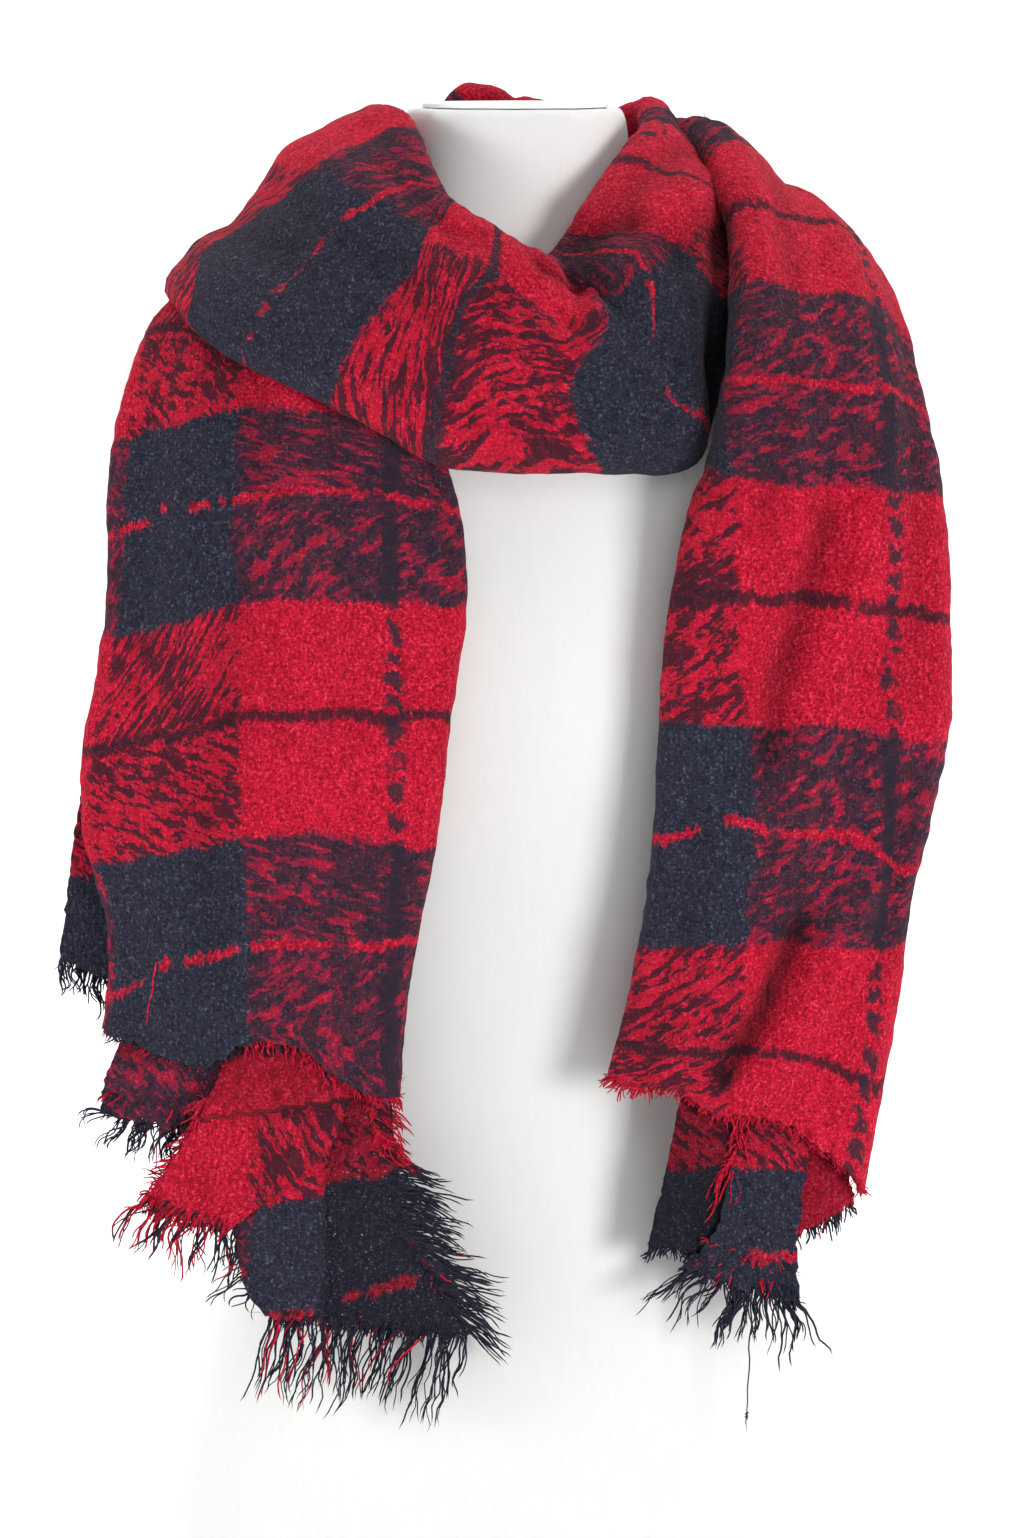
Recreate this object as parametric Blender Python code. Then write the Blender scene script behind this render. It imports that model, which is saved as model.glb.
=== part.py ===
"""A blanket scarf wound once around the neck of a limbless dress form.

The scarf is one long cloth, folded lengthwise into a flat band with an open slit behind.
Its path is one table: each row is a section across the band, with the place of its two
folded edges, so the five stretches that show (left tail, inner neck pass, cowl, outer neck
pass, right tail) run on from each other. Each stretch is laid on what lies beneath it: the
form first, then the stretches that were wound before it. The loose layers that hang out of
the two hems are walls of their own, and every fringe is a row of strands on a thin strip.

Metres, +Z up, -Y is the front. The origin is the middle of the form's flat base.
"""

import math
import random

import bmesh
import bpy
from mathutils import Vector
from mathutils.bvhtree import BVHTree

MM = 0.001

# ---------------------------------------------------------------- driving dimensions
NECK_TOP = 840 * MM          # height of the form's neck top above its base
WALL = 2.6 * MM              # brushed wool, one layer
GAP = 0.3 * MM               # clear distance at a seat
JOINT_GAP = 0.6 * MM         # between two stretches, measured along the middle of the path
REST_CLEARANCE = 0.7 * MM    # kept under a stretch, so that flat facets stay clear too
FOLD_SPACE = 1.6 * MM        # least air between the two layers of the folded band
SLIT = 12 * MM               # opening along the back of the folded band
ROW_STEP = 24 * MM           # distance between two sections of a stretch
SEARCH = 90 * MM             # how far from a stretch its supports are looked for
JOINT_REACH = 50 * MM        # over this length a stretch doesn't rest on the one it joins
LIFT_STEP = 0.4 * MM         # where facets still cut a support, they are lifted by this
FORM_SIDES = 36
CAP_RADIUS = 47 * MM
CAP_THICKNESS = 2.5 * MM

FACE_POINTS = 9              # points across the face of the band
ARC_POINTS = 3               # points round each folded edge
BACK_POINTS = 2              # points from a folded edge to the slit

# ---------------------------------------------------------------- the dress form
# Level sections, millimetres: height, half width, depth to the front, depth to the
# back, and how square the section is (2 is an ellipse).
FORM_SECTIONS = (
    # height, half_width, front, back, squareness
    (0, 186, 118, 112, 2.3),
    (6, 190, 121, 115, 2.3),
    (60, 191, 122, 118, 2.3),
    (120, 184, 120, 116, 2.3),
    (200, 168, 114, 108, 2.3),
    (280, 146, 104, 96, 2.3),
    (350, 132, 97, 88, 2.3),
    (420, 137, 100, 90, 2.3),
    (500, 156, 110, 97, 2.4),
    (560, 171, 116, 102, 2.4),
    (610, 186, 115, 102, 2.5),
    (650, 201, 109, 98, 2.6),
    (680, 206, 102, 92, 2.7),
    (700, 207, 95, 86, 2.7),
    (715, 201, 88, 80, 2.6),
    (730, 183, 81, 75, 2.5),
    (745, 152, 75, 71, 2.4),
    (760, 118, 70, 67, 2.3),
    (775, 88, 65, 64, 2.1),
    (790, 70, 61, 61, 2.0),
    (805, 61, 58, 59, 2.0),
    (822, 57.5, 57, 57.5, 2.0),
    (835, 57, 56.5, 57, 2.0),
    (840, 53.5, 53, 53.5, 2.0),
)

# ---------------------------------------------------------------- the path of the scarf
# One row for each section across the band, from the left hem to the right hem, in
# millimetres. x and y are level, drop is measured down from the neck top. The outer edge
# is the one away from the neck. loft is the thickness over both layers, and bow is how
# far the middle of the section stands out from the straight line between its edges.
PATH = (
    # stretch, outer x, y, drop, inner x, y, drop, loft, bow
    ("left_tail", -204, -102, 453, -49, -126, 483, 20, 4),
    ("left_tail", -200, -101, 425, -56, -126, 442, 20, 4),
    ("left_tail", -201, -100, 395, -50, -127, 402, 20, 4),
    ("left_tail", -212, -98, 355, -42, -127, 360, 19, 4),
    ("left_tail", -212, -96, 315, -37, -128, 318, 18, 5),
    ("left_tail", -204, -93, 275, -31, -128, 277, 18, 5),
    ("left_tail", -199, -90, 235, -26, -128, 237, 17, 6),
    ("left_tail", -199, -84, 200, -28, -124, 200, 16, 7),
    ("left_tail", -197, -76, 165, -38, -112, 162, 14, 6),
    ("left_tail", -191, -62, 136, -54, -94, 122, 12, 5),
    ("left_tail", -181, -36, 117, -68, -66, 90, 11, 4),
    ("neck_inner", -170, -6, 106, -74, -28, 68, 11, 3),
    ("neck_inner", -156, 30, 108, -70, 16, 52, 11, 3),
    ("neck_inner", -128, 58, 115, -60, 46, 32, 11, 3),
    ("neck_inner", -90, 76, 121, -40, 62, 10, 11, 3),
    ("neck_inner", -52, 83, 125, -25, 67, -8, 11, 2),
    ("neck_inner", -15, 87, 126, -5, 70, 0, 11, 2),
    ("neck_inner", 22, 87, 124, 17, 69, 4, 11, 2),
    ("neck_inner", 68, 78, 113, 47, 59, 6, 11, 2),
    ("neck_inner", 101, 50, 97, 66, 36, -2, 11, 3),
    ("cowl", 112, 12, 86, 69, 6, 5, 12, 4),
    ("cowl", 115, -24, 82, 66, -20, 10, 13, 6),
    ("cowl", 112, -64, 84, 55, -43, 22, 15, 9),
    ("cowl", 107, -94, 98, 41, -62, 41, 17, 11),
    ("cowl", 102, -110, 130, 26, -78, 61, 19, 13),
    ("cowl", 90, -119, 161, 14, -88, 76, 20, 15),
    ("cowl", 60, -127, 172, 2, -92, 69, 21, 16),
    ("cowl", 25, -130, 173, -10, -90, 60, 21, 17),
    ("cowl", -10, -131, 172, -24, -86, 52, 21, 17),
    ("cowl", -40, -130, 166, -35, -79, 44, 20, 16),
    ("cowl", -75, -125, 146, -42, -67, 30, 19, 14),
    ("cowl", -115, -112, 128, -49, -51, 15, 17, 12),
    ("cowl", -149, -86, 112, -55, -30, 6, 16, 9),
    ("cowl", -167, -46, 101, -60, -3, 4, 15, 8),
    ("neck_outer", -167, 0, 98, -64, 26, 6, 15, 8),
    ("neck_outer", -154, 44, 101, -62, 55, 8, 14, 6),
    ("neck_outer", -122, 78, 112, -47, 76, 8, 15, 6),
    ("neck_outer", -75, 98, 122, -22, 86, 8, 15, 6),
    ("neck_outer", -15, 106, 127, 5, 88, 8, 15, 6),
    ("neck_outer", 45, 102, 122, 34, 82, 9, 15, 6),
    ("neck_outer", 100, 84, 109, 61, 64, 10, 15, 6),
    ("neck_outer", 140, 52, 97, 78, 40, 10, 15, 5),
    ("right_tail", 164, 18, 92, 87, 14, 10, 15, 5),
    ("right_tail", 176, -18, 93, 95, -22, 17, 16, 7),
    ("right_tail", 188, -50, 110, 103, -66, 39, 17, 8),
    ("right_tail", 196, -72, 139, 106, -108, 76, 18, 7),
    ("right_tail", 204, -84, 175, 103, -136, 118, 19, 6),
    ("right_tail", 209, -90, 208, 95, -142, 160, 20, 5),
    ("right_tail", 212, -94, 241, 86, -140, 196, 20, 5),
    ("right_tail", 213, -97, 276, 76, -136, 250, 20, 5),
    ("right_tail", 211, -99, 312, 73, -134, 300, 20, 5),
    ("right_tail", 203, -100, 350, 71, -133, 348, 20, 5),
    ("right_tail", 194, -101, 392, 66, -132, 392, 20, 5),
    ("right_tail", 188, -102, 440, 59, -131, 430, 20, 5),
    ("right_tail", 180, -103, 489, 53, -130, 455, 20, 5),
    ("right_tail", 173, -104, 536, 48, -129, 473, 20, 5),
)
STRETCHES = ("left_tail", "neck_inner", "cowl", "neck_outer", "right_tail")

# How far each hem is drawn up above the straight line between its corners: position from
# the outer corner (0) to the inner corner (1), and the lift in millimetres.
LEFT_HEM = ((0.0, 0), (0.16, -4), (0.34, -7), (0.42, 5), (0.52, 14), (0.66, 16), (0.78, 6),
            (0.9, 1), (1.0, 0))
RIGHT_HEM = ((0.0, 0), (0.08, 9), (0.2, 15), (0.36, 19), (0.5, 14), (0.62, 7), (0.76, 11),
             (0.9, 4), (1.0, 0))
HEM_FADE = 90 * MM           # the lift dies away over this length above the hem

# The largest folds of the face, soft ridges (+) and troughs (-). Each runs straight over
# the band from one place to another: the row of the path, counted from the left hem, and
# the position from the outer edge (0) to the inner edge (1). Reach and height in mm.
FOLDS = (
    # from row, position, to row, position, reach, height
    (0.0, 0.10, 9.0, 0.14, 13, -3.0),
    (0.0, 0.28, 8.0, 0.30, 18, 3.0),
    (1.0, 0.62, 7.0, 0.55, 20, -2.5),
    (0.0, 0.84, 7.0, 0.80, 14, 2.5),
    (21.0, 0.45, 24.4, 0.70, 15, 4.0),
    (24.6, 0.97, 26.2, 0.58, 11, -9.0),
    (26.0, 0.90, 28.0, 0.72, 14, 4.0),
    (27.0, 0.20, 32.0, 0.30, 16, -3.0),
    (28.0, 0.62, 33.0, 0.66, 18, 3.5),
    (29.5, 0.94, 32.0, 0.84, 10, -3.0),
    (33.0, 0.40, 41.0, 0.35, 16, -4.0),
    (33.0, 0.70, 41.0, 0.72, 15, 3.5),
    (42.0, 0.60, 47.0, 0.62, 15, -3.5),
    (42.0, 0.25, 48.0, 0.32, 18, 3.0),
    (47.0, 0.42, 55.0, 0.30, 16, -3.0),
    (46.0, 0.80, 55.0, 0.76, 14, 3.0),
)
HEM_RELIEF = 0.3             # share of the fold height that is left at a hem

# ---------------------------------------------------------------- layers under the hems
# Flat walls that hang from inside the folded tails. Rows from top to bottom, millimetres:
# left x, drop, right x, drop. seat is how far the layer hangs in front of (+) or behind
# (-) the middle of its tail.
LAYERS = {
    "left_layer_red": {
        "tail": "left", "seat": 4.9, "columns": 8, "pleats": ((0.30, 1.5), (0.62, -0.6)),
        "rows": ((-148, 384, -96, 384), (-146, 425, -84, 425), (-145, 470, -76, 472),
                 (-163, 507, -92, 512), (-187, 541, -143, 552)),
    },
    "left_layer_long": {
        "tail": "left", "seat": 0.9, "columns": 10, "pleats": ((0.42, 0.9), (0.62, -0.9)),
        "rows": ((-142, 388, -62, 388), (-142, 430, -62, 432), (-142, 476, -62, 482),
                 (-141, 515, -58, 520), (-140, 552, -54, 556), (-136, 582, -34, 590),
                 (-124, 597, -22, 604)),
    },
    "left_layer_side": {
        "tail": "left", "seat": -2.8, "columns": 6, "pleats": ((0.4, 0.8),),
        "rows": ((-190, 392, -130, 392), (-190, 434, -128, 434), (-197, 460, -128, 462),
                 (-206, 482, -130, 488), (-207, 496, -132, 512)),
    },
    "left_flap": {
        "tail": "left", "seat": -13.2, "columns": 4, "pleats": (),
        "rows": ((-213, 320, -178, 320), (-220, 356, -182, 360), (-225, 396, -184, 400),
                 (-229, 423, -194, 434)),
    },
    "right_layer_mid": {
        "tail": "right", "seat": 4.9, "columns": 6, "pleats": ((0.45, 1.4), (0.8, -1.0)),
        "rows": ((122, 416, 152, 416), (120, 450, 150, 452), (117, 495, 147, 505),
                 (108, 515, 144, 525), (101, 550, 140, 560), (84, 570, 142, 590)),
    },
    "right_layer_back": {
        "tail": "right", "seat": 1.2, "columns": 6, "pleats": ((0.5, 0.9),),
        "rows": ((86, 404, 124, 404), (84, 440, 122, 442), (82, 482, 120, 492),
                 (75, 520, 112, 524), (66, 558, 98, 563)),
    },
    "right_layer_inner": {
        "tail": "right", "seat": -4.2, "columns": 5, "pleats": ((0.6, 0.8),),
        "rows": ((128, 440, 166, 440), (132, 480, 164, 480), (140, 520, 166, 518),
                 (139, 558, 170, 543)),
    },
}
TAIL_ROWS = 7                # rows of PATH above each hem that a layer hangs along

# ---------------------------------------------------------------- fringes
STRIP = 2.0 * MM             # height of the strip that carries the strands
STRIP_GAP = 0.5 * MM         # from the edge to the strip, whose straight chords come closer
SIDE_LEAN = 0.16             # strands along a side lean forward, off the layer behind
STRAND_LEVELS = ((0.5, 0.72), (1.0, 0.38))   # share of the length, share of the thickness
CLUMP = 3                    # strands that lean towards each other
CLUMP_PULL = 0.2             # share of the pitch that the outer two of a clump lean in
# Each fringe follows an edge: the hem, or the left or right side, of a layer, or the face
# of a tail at its hem. first and last say which part of that edge, heading is the way the
# strands point in degrees from straight down, to the left (-) or the right (+).
FRINGES = (
    # name, edge of, side, first, last, strands, length, heading at first, at last
    ("fringe_flap", "left_flap", "hem", 0.04, 0.96, 7, 19, -14, -4),
    ("fringe_side", "left_layer_side", "hem", 0.03, 0.86, 11, 23, -48, 2),
    ("fringe_red", "left_layer_red", "hem", 0.04, 0.96, 8, 32, -40, -14),
    ("fringe_long", "left_layer_long", "hem", 0.03, 0.97, 18, 46, -14, -24),
    ("fringe_long_side", "left_layer_long", "right", 0.42, 0.95, 18, 34, 66, 70),
    ("fringe_long_left", "left_layer_long", "left", 0.80, 0.91, 3, 24, -46, -50),
    ("fringe_red_side", "left_layer_red", "left", 0.64, 0.97, 9, 10, -64, -68),
    ("fringe_front", "left_tail", "face", 0.50, 0.96, 9, 13, -4, 44),
    ("fringe_back", "right_layer_back", "hem", 0.04, 0.96, 8, 8, -8, 0),
    ("fringe_mid", "right_layer_mid", "hem", 0.05, 0.95, 13, 34, -48, 22),
    ("fringe_mid_side", "right_layer_mid", "left", 0.48, 0.86, 8, 9, -70, -80),
    ("fringe_inner", "right_layer_inner", "hem", 0.06, 0.94, 7, 10, -20, 26),
)
LONG_STRAND = {"fringe_mid": (9, 60, -6)}    # a stray end: which strand, length, heading

RED = (0.56, 0.012, 0.030, 1.0)
NAVY = (0.022, 0.024, 0.045, 1.0)
FORM_WHITE = (0.80, 0.80, 0.78, 1.0)
CAP_WHITE = (0.88, 0.88, 0.88, 1.0)


# ---------------------------------------------------------------- helpers
def clear_scene():
    """Remove whatever the file opened with."""
    for item in list(bpy.data.objects):
        bpy.data.objects.remove(item, do_unlink=True)


def make_material(name, colour, roughness):
    """A plain Principled material."""
    made = bpy.data.materials.new(name)
    made.use_nodes = True
    shader = made.node_tree.nodes["Principled BSDF"]
    shader.inputs["Base Color"].default_value = colour
    shader.inputs["Roughness"].default_value = roughness
    shader.inputs["Metallic"].default_value = 0.0
    return made


def make_object(name, points, faces, made_of):
    """A mesh object from points and faces, with its faces turned outwards."""
    mesh = bpy.data.meshes.new(name)
    mesh.from_pydata([tuple(point) for point in points], [], faces)
    shape = bmesh.new()
    shape.from_mesh(mesh)
    bmesh.ops.recalc_face_normals(shape, faces=shape.faces)
    shape.to_mesh(mesh)
    shape.free()
    mesh.shade_smooth()
    mesh.materials.append(made_of)
    item = bpy.data.objects.new(name, mesh)
    bpy.context.collection.objects.link(item)
    return item


def surface_of(item):
    """A search tree over an object's faces."""
    corners = [vertex.co.copy() for vertex in item.data.vertices]
    faces = [tuple(face.vertices) for face in item.data.polygons]
    return BVHTree.FromPolygons(corners, faces)


def grid_normals(grid):
    """Unit normals of a grid of points, from its neighbours along and across."""
    rows, columns = len(grid), len(grid[0])
    normals = []
    for row in range(rows):
        line = []
        for column in range(columns):
            along = grid[min(row + 1, rows - 1)][column] - grid[max(row - 1, 0)][column]
            across = grid[row][min(column + 1, columns - 1)] - grid[row][max(column - 1, 0)]
            line.append(along.cross(across).normalized())
        normals.append(line)
    return normals


def cloth_wall(name, grid, made_of, end_axes=None):
    """A wall of cloth, WALL thick, with a grid of points as its middle surface.

    end_axes are the directions of the path at the first and last row. The wall's ends are
    cut square to them, so that two stretches meet face to face.
    """
    rows, columns = len(grid), len(grid[0])
    normals = grid_normals(grid)
    if end_axes:
        for row, axis in zip((0, rows - 1), end_axes):
            normals[row] = [(normal - axis * normal.dot(axis)).normalized()
                            for normal in normals[row]]
    points = []
    for side in (0.5, -0.5):
        for row in range(rows):
            for column in range(columns):
                points.append(grid[row][column] + normals[row][column] * (side * WALL))
    below = rows * columns

    def index(row, column, side):
        return side * below + row * columns + column

    faces = []
    for row in range(rows - 1):
        for column in range(columns - 1):
            corners = ((row, column), (row + 1, column), (row + 1, column + 1),
                       (row, column + 1))
            faces.append([index(r, c, 0) for r, c in corners])
            faces.append([index(r, c, 1) for r, c in reversed(corners)])
    rim = [(0, column) for column in range(columns)]
    rim += [(row, columns - 1) for row in range(1, rows)]
    rim += [(rows - 1, column) for column in range(columns - 2, -1, -1)]
    rim += [(row, 0) for row in range(rows - 2, 0, -1)]
    for here, after in zip(rim, rim[1:] + rim[:1]):
        faces.append([index(*here, 0), index(*after, 0), index(*after, 1), index(*here, 1)])
    return make_object(name, points, faces, made_of)


def blend_table(table, place):
    """Read a table of (place, value) rows, straight between its rows."""
    for (low, low_value), (high, high_value) in zip(table, table[1:]):
        if place <= high:
            share = (place - low) / (high - low)
            return low_value + (high_value - low_value) * share
    return table[-1][1]


# ---------------------------------------------------------------- the dress form
def form_ring(section):
    """One level section of the form, as a superellipse with its own front and back."""
    height, half_width, front, back, squareness = section
    ring = []
    for step in range(FORM_SIDES):
        angle = 2 * math.pi * step / FORM_SIDES
        cosine, sine = math.cos(angle), math.sin(angle)
        x = math.copysign(abs(cosine) ** (2 / squareness), cosine) * half_width
        depth = back if sine > 0 else front
        y = math.copysign(abs(sine) ** (2 / squareness), sine) * depth
        ring.append(Vector((x, y, height)) * MM)
    return ring


def make_form(made_of):
    """The closed body of the dress form, from its flat base to its neck top."""
    points = [point for section in FORM_SECTIONS for point in form_ring(section)]
    count = FORM_SIDES
    faces = []
    for level in range(len(FORM_SECTIONS) - 1):
        for step in range(count):
            after = (step + 1) % count
            faces.append([level * count + step, level * count + after,
                          (level + 1) * count + after, (level + 1) * count + step])
    top = (len(FORM_SECTIONS) - 1) * count
    faces.append(list(reversed(range(count))))
    faces.append([top + step for step in range(count)])
    return make_object("dress_form", points, faces, made_of)


def make_cap(made_of):
    """The thin round plate on the neck top."""
    bpy.ops.mesh.primitive_cylinder_add(
        vertices=32, radius=CAP_RADIUS, depth=CAP_THICKNESS,
        location=(0, 0, NECK_TOP + GAP + CAP_THICKNESS / 2))
    item = bpy.context.object
    item.name = item.data.name = "neck_cap"
    item.data.materials.append(made_of)
    return item


# ---------------------------------------------------------------- the wound band
class Band:
    """The smooth path of the folded scarf, read anywhere between the rows of PATH."""

    def __init__(self):
        self.rows = [tuple(value * MM for value in row[1:]) for row in PATH]
        self.places = [0.0]
        for before, after in zip(self.rows, self.rows[1:]):
            self.places.append(self.places[-1] + self.middle_distance(before, after))

    @staticmethod
    def middle_distance(before, after):
        """Distance between the middles of two sections."""
        offsets = [(after[i] + after[i + 3] - before[i] - before[i + 3]) / 2 for i in range(3)]
        return math.sqrt(sum(offset * offset for offset in offsets))

    def slope(self, row, column):
        """Slope of one column of the table at one of its rows."""
        first, last = max(row - 1, 0), min(row + 1, len(self.rows) - 1)
        rise = self.rows[last][column] - self.rows[first][column]
        return rise / (self.places[last] - self.places[first])

    def read(self, place):
        """All columns at a place along the path, on a smooth cubic curve."""
        row = 0
        while row < len(self.rows) - 2 and self.places[row + 1] < place:
            row += 1
        length = self.places[row + 1] - self.places[row]
        t = (place - self.places[row]) / length
        values = []
        for column in range(len(self.rows[0])):
            start, end = self.rows[row][column], self.rows[row + 1][column]
            leave = self.slope(row, column) * length
            arrive = self.slope(row + 1, column) * length
            values.append((2 * t ** 3 - 3 * t ** 2 + 1) * start + (t ** 3 - 2 * t ** 2 + t) * leave
                          + (3 * t ** 2 - 2 * t ** 3) * end + (t ** 3 - t ** 2) * arrive)
        return values

    def row_at(self, place):
        """The place along the path, counted in rows of the table."""
        for row in range(len(self.places) - 1):
            if place <= self.places[row + 1]:
                return row + (place - self.places[row]) / (self.places[row + 1] - self.places[row])
        return len(self.places) - 1

    def section(self, place):
        """Both edges, the outward direction, the loft and the bow at a place."""
        values = self.read(place)
        outer = Vector((values[0], values[1], NECK_TOP - values[2]))
        inner = Vector((values[3], values[4], NECK_TOP - values[5]))
        step = 4 * MM
        before = self.read(max(place - step, 0))
        after = self.read(min(place + step, self.places[-1]))
        ahead = Vector([(after[i] + after[i + 3] - before[i] - before[i + 3]) for i in range(3)])
        ahead.z = -ahead.z
        across = (inner - outer).normalized()
        ahead = (ahead - across * ahead.dot(across)).normalized()
        return outer, inner, across.cross(ahead), values[6], values[7], ahead

    def stretch_range(self, stretch):
        """Where a stretch starts and ends along the path, with half a gap at each joint."""
        numbers = [number for number, row in enumerate(PATH) if row[0] == stretch]
        start = self.places[numbers[0]]
        if numbers[0] > 0:
            start += JOINT_GAP / 2
        if numbers[-1] + 1 < len(PATH):
            return start, self.places[numbers[-1] + 1] - JOINT_GAP / 2
        return start, self.places[numbers[-1]]


def band_loop(half_width, half_loft):
    """Offsets across and outwards round the folded band, from the slit to the slit."""
    straight = half_width - half_loft
    loop = []
    for step in range(BACK_POINTS):
        share = step / BACK_POINTS
        loop.append((-SLIT / 2 - share * (straight - SLIT / 2), -half_loft))
    for step in range(ARC_POINTS):
        angle = math.pi * (step + 0.5) / ARC_POINTS
        loop.append((-straight - math.sin(angle) * half_loft, -math.cos(angle) * half_loft))
    for step in range(FACE_POINTS):
        share = step / (FACE_POINTS - 1)
        loop.append((-straight + 2 * straight * share, half_loft))
    for step in range(ARC_POINTS):
        angle = math.pi * (step + 0.5) / ARC_POINTS
        loop.append((straight + math.sin(angle) * half_loft, math.cos(angle) * half_loft))
    for step in range(BACK_POINTS):
        share = 1 - (step + 1) / BACK_POINTS
        loop.append((SLIT / 2 + share * (straight - SLIT / 2), -half_loft))
    return loop


def fold_relief(band, place, position, width):
    """Height of the large folds at a place along the band and a position across it."""
    row = band.row_at(place)
    from_hem = min(place, band.places[-1] - place)
    share_left = min(HEM_RELIEF + (1 - HEM_RELIEF) * from_hem / HEM_FADE, 1.0)
    height = 0.0
    for row_a, position_a, row_b, position_b, reach, rise in FOLDS:
        if not row_a - 1.5 < row < row_b + 1.5:
            continue
        share = min(max((row - row_a) / (row_b - row_a), 0.0), 1.0)
        aside = (position - position_a - (position_b - position_a) * share) * width
        beyond = max(row_a - row, row - row_b, 0.0) * ROW_STEP
        distance = math.hypot(aside, beyond) / (reach * MM)
        height += rise * MM * math.exp(-distance * distance)
    return height * share_left


def hem_lift(place, band, position):
    """How far a point near a hem is drawn up."""
    from_left = place
    from_right = band.places[-1] - place
    if from_left < HEM_FADE:
        share = 1 - from_left / HEM_FADE
        return blend_table(LEFT_HEM, position) * MM * share * share
    if from_right < HEM_FADE:
        share = 1 - from_right / HEM_FADE
        return blend_table(RIGHT_HEM, position) * MM * share * share
    return 0.0


def seat_height(point, outward, supports):
    """Height along the outward direction of whatever lies highest at this point."""
    heights = []
    for surface in supports:
        hit = surface.ray_cast(point + outward * SEARCH, -outward, 2 * SEARCH)
        if hit[0] is not None:
            heights.append(SEARCH - hit[3])
    return max(heights, default=None)


def resting_pushes(grid, outwards, layers, supports_of_row):
    """How far each point has to move out to lie clear of whatever is beneath it.

    The points halfway to the neighbours are tested too, because the faces between two
    points would otherwise cut the corners of a rounded support.
    """
    rows, columns = len(grid), len(grid[0])
    pushes = [[0.0] * columns for _ in range(rows)]
    for fine_row in range(2 * rows - 1):
        upper, lower = fine_row // 2, (fine_row + 1) // 2
        outward = (outwards[upper] + outwards[lower]).normalized()
        supports = supports_of_row[upper]
        for fine_column in range(2 * columns - 1):
            left, right = fine_column // 2, (fine_column + 1) // 2
            corners = [(r, c) for r in (upper, lower) for c in (left, right)]
            point = sum((grid[r][c] for r, c in corners), Vector()) / 4
            layer = sum(layers[r][c] for r, c in corners) / 4
            height = seat_height(point, outward, supports)
            if height is None:
                continue
            needed = height + WALL / 2 + REST_CLEARANCE + layer * (WALL + FOLD_SPACE)
            for r, c in corners:
                pushes[r][c] = max(pushes[r][c], needed)
    return pushes


def spread_pushes(pushes):
    """Carry each push over to its neighbours, so that the cloth lifts in soft swells."""
    for _ in range(5):
        spread = []
        for row, line in enumerate(pushes):
            above = pushes[max(row - 1, 0)]
            below = pushes[min(row + 1, len(pushes) - 1)]
            fresh = []
            for column, amount in enumerate(line):
                left = line[max(column - 1, 0)]
                right = line[min(column + 1, len(line) - 1)]
                mean = (left + right + above[column] + below[column]) / 4
                fresh.append(max(amount, mean))
            spread.append(fresh)
        pushes = spread
    return pushes


def lay_stretch(band, stretch, laid, made_of):
    """Make one stretch as a wall, laid on the form and on the stretches before it."""
    start, end = band.stretch_range(stretch)
    steps = max(int(round((end - start) / ROW_STEP)), 4)
    grid, outwards, layers, supports_of_row, axes = [], [], [], [], []
    before = list(laid.values())[-1]
    for step in range(steps + 1):
        place = start + (end - start) * step / steps
        outer, inner, outward, loft, bow, ahead = band.section(place)
        middle = (outer + inner) / 2
        across = (inner - outer).normalized()
        half_width = (inner - outer).length / 2
        line, layer_line = [], []
        for aside, out in band_loop(half_width, loft / 2):
            share = aside / half_width
            position = (share + 1) / 2
            layer_line.append(out / loft + 0.5)
            if out > 0:
                out += fold_relief(band, place, position, 2 * half_width) * min(1, 2 * out / loft)
            point = middle + across * aside + outward * (bow * (1 - share * share) + out)
            point.z += hem_lift(place, band, position)
            line.append(point)
        grid.append(line)
        outwards.append(outward)
        layers.append(layer_line)
        axes.append(ahead)
        near_joint = len(laid) > 1 and place - start < JOINT_REACH
        supports_of_row.append([surface for surface in laid.values()
                                if not (near_joint and surface is before)])
    pushes = spread_pushes(resting_pushes(grid, outwards, layers, supports_of_row))
    for line, push, outward in zip(grid, pushes, outwards):
        for column, amount in enumerate(push):
            line[column] = line[column] + outward * amount
    end_axes = (axes[0], axes[-1])
    item = cloth_wall(stretch, grid, made_of, end_axes)
    pressed = pressed_points(item, laid.values(), len(grid[0]), len(grid))
    while pressed:
        for row, column in pressed:
            grid[row][column] += outwards[row] * LIFT_STEP
        bpy.data.objects.remove(item, do_unlink=True)
        item = cloth_wall(stretch, grid, made_of, end_axes)
        still = pressed_points(item, laid.values(), len(grid[0]), len(grid))
        pressed = sorted(set(pressed) | set(still)) if still else still
    laid[stretch] = surface_of(item)
    return grid


def pressed_points(item, surfaces, columns, rows):
    """Grid points of the faces that still cut a surface, and of their neighbours."""
    faces = item.data.polygons
    own = surface_of(item)
    pressed = set()
    for surface in surfaces:
        for face, _ in own.overlap(surface):
            for vertex in faces[face].vertices:
                row, column = divmod(vertex % (rows * columns), columns)
                pressed.add((row, column))
    return sorted(pressed)


# ---------------------------------------------------------------- hanging layers
def tail_edge(tail, first_column, drop):
    """x and y of one edge of a tail at a drop, straight between the rows of PATH."""
    rows = PATH[:TAIL_ROWS] if tail == "left" else PATH[:-TAIL_ROWS - 1:-1]
    for below, above in zip(rows, rows[1:]):
        if drop >= above[first_column + 2]:
            height = below[first_column + 2] - above[first_column + 2]
            share = min((below[first_column + 2] - drop) / height, 1.0)
            share = max(share, 0.0)
            return [below[first_column + i] * (1 - share) + above[first_column + i] * share
                    for i in range(2)]
    return rows[-1][first_column:first_column + 2]


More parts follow.
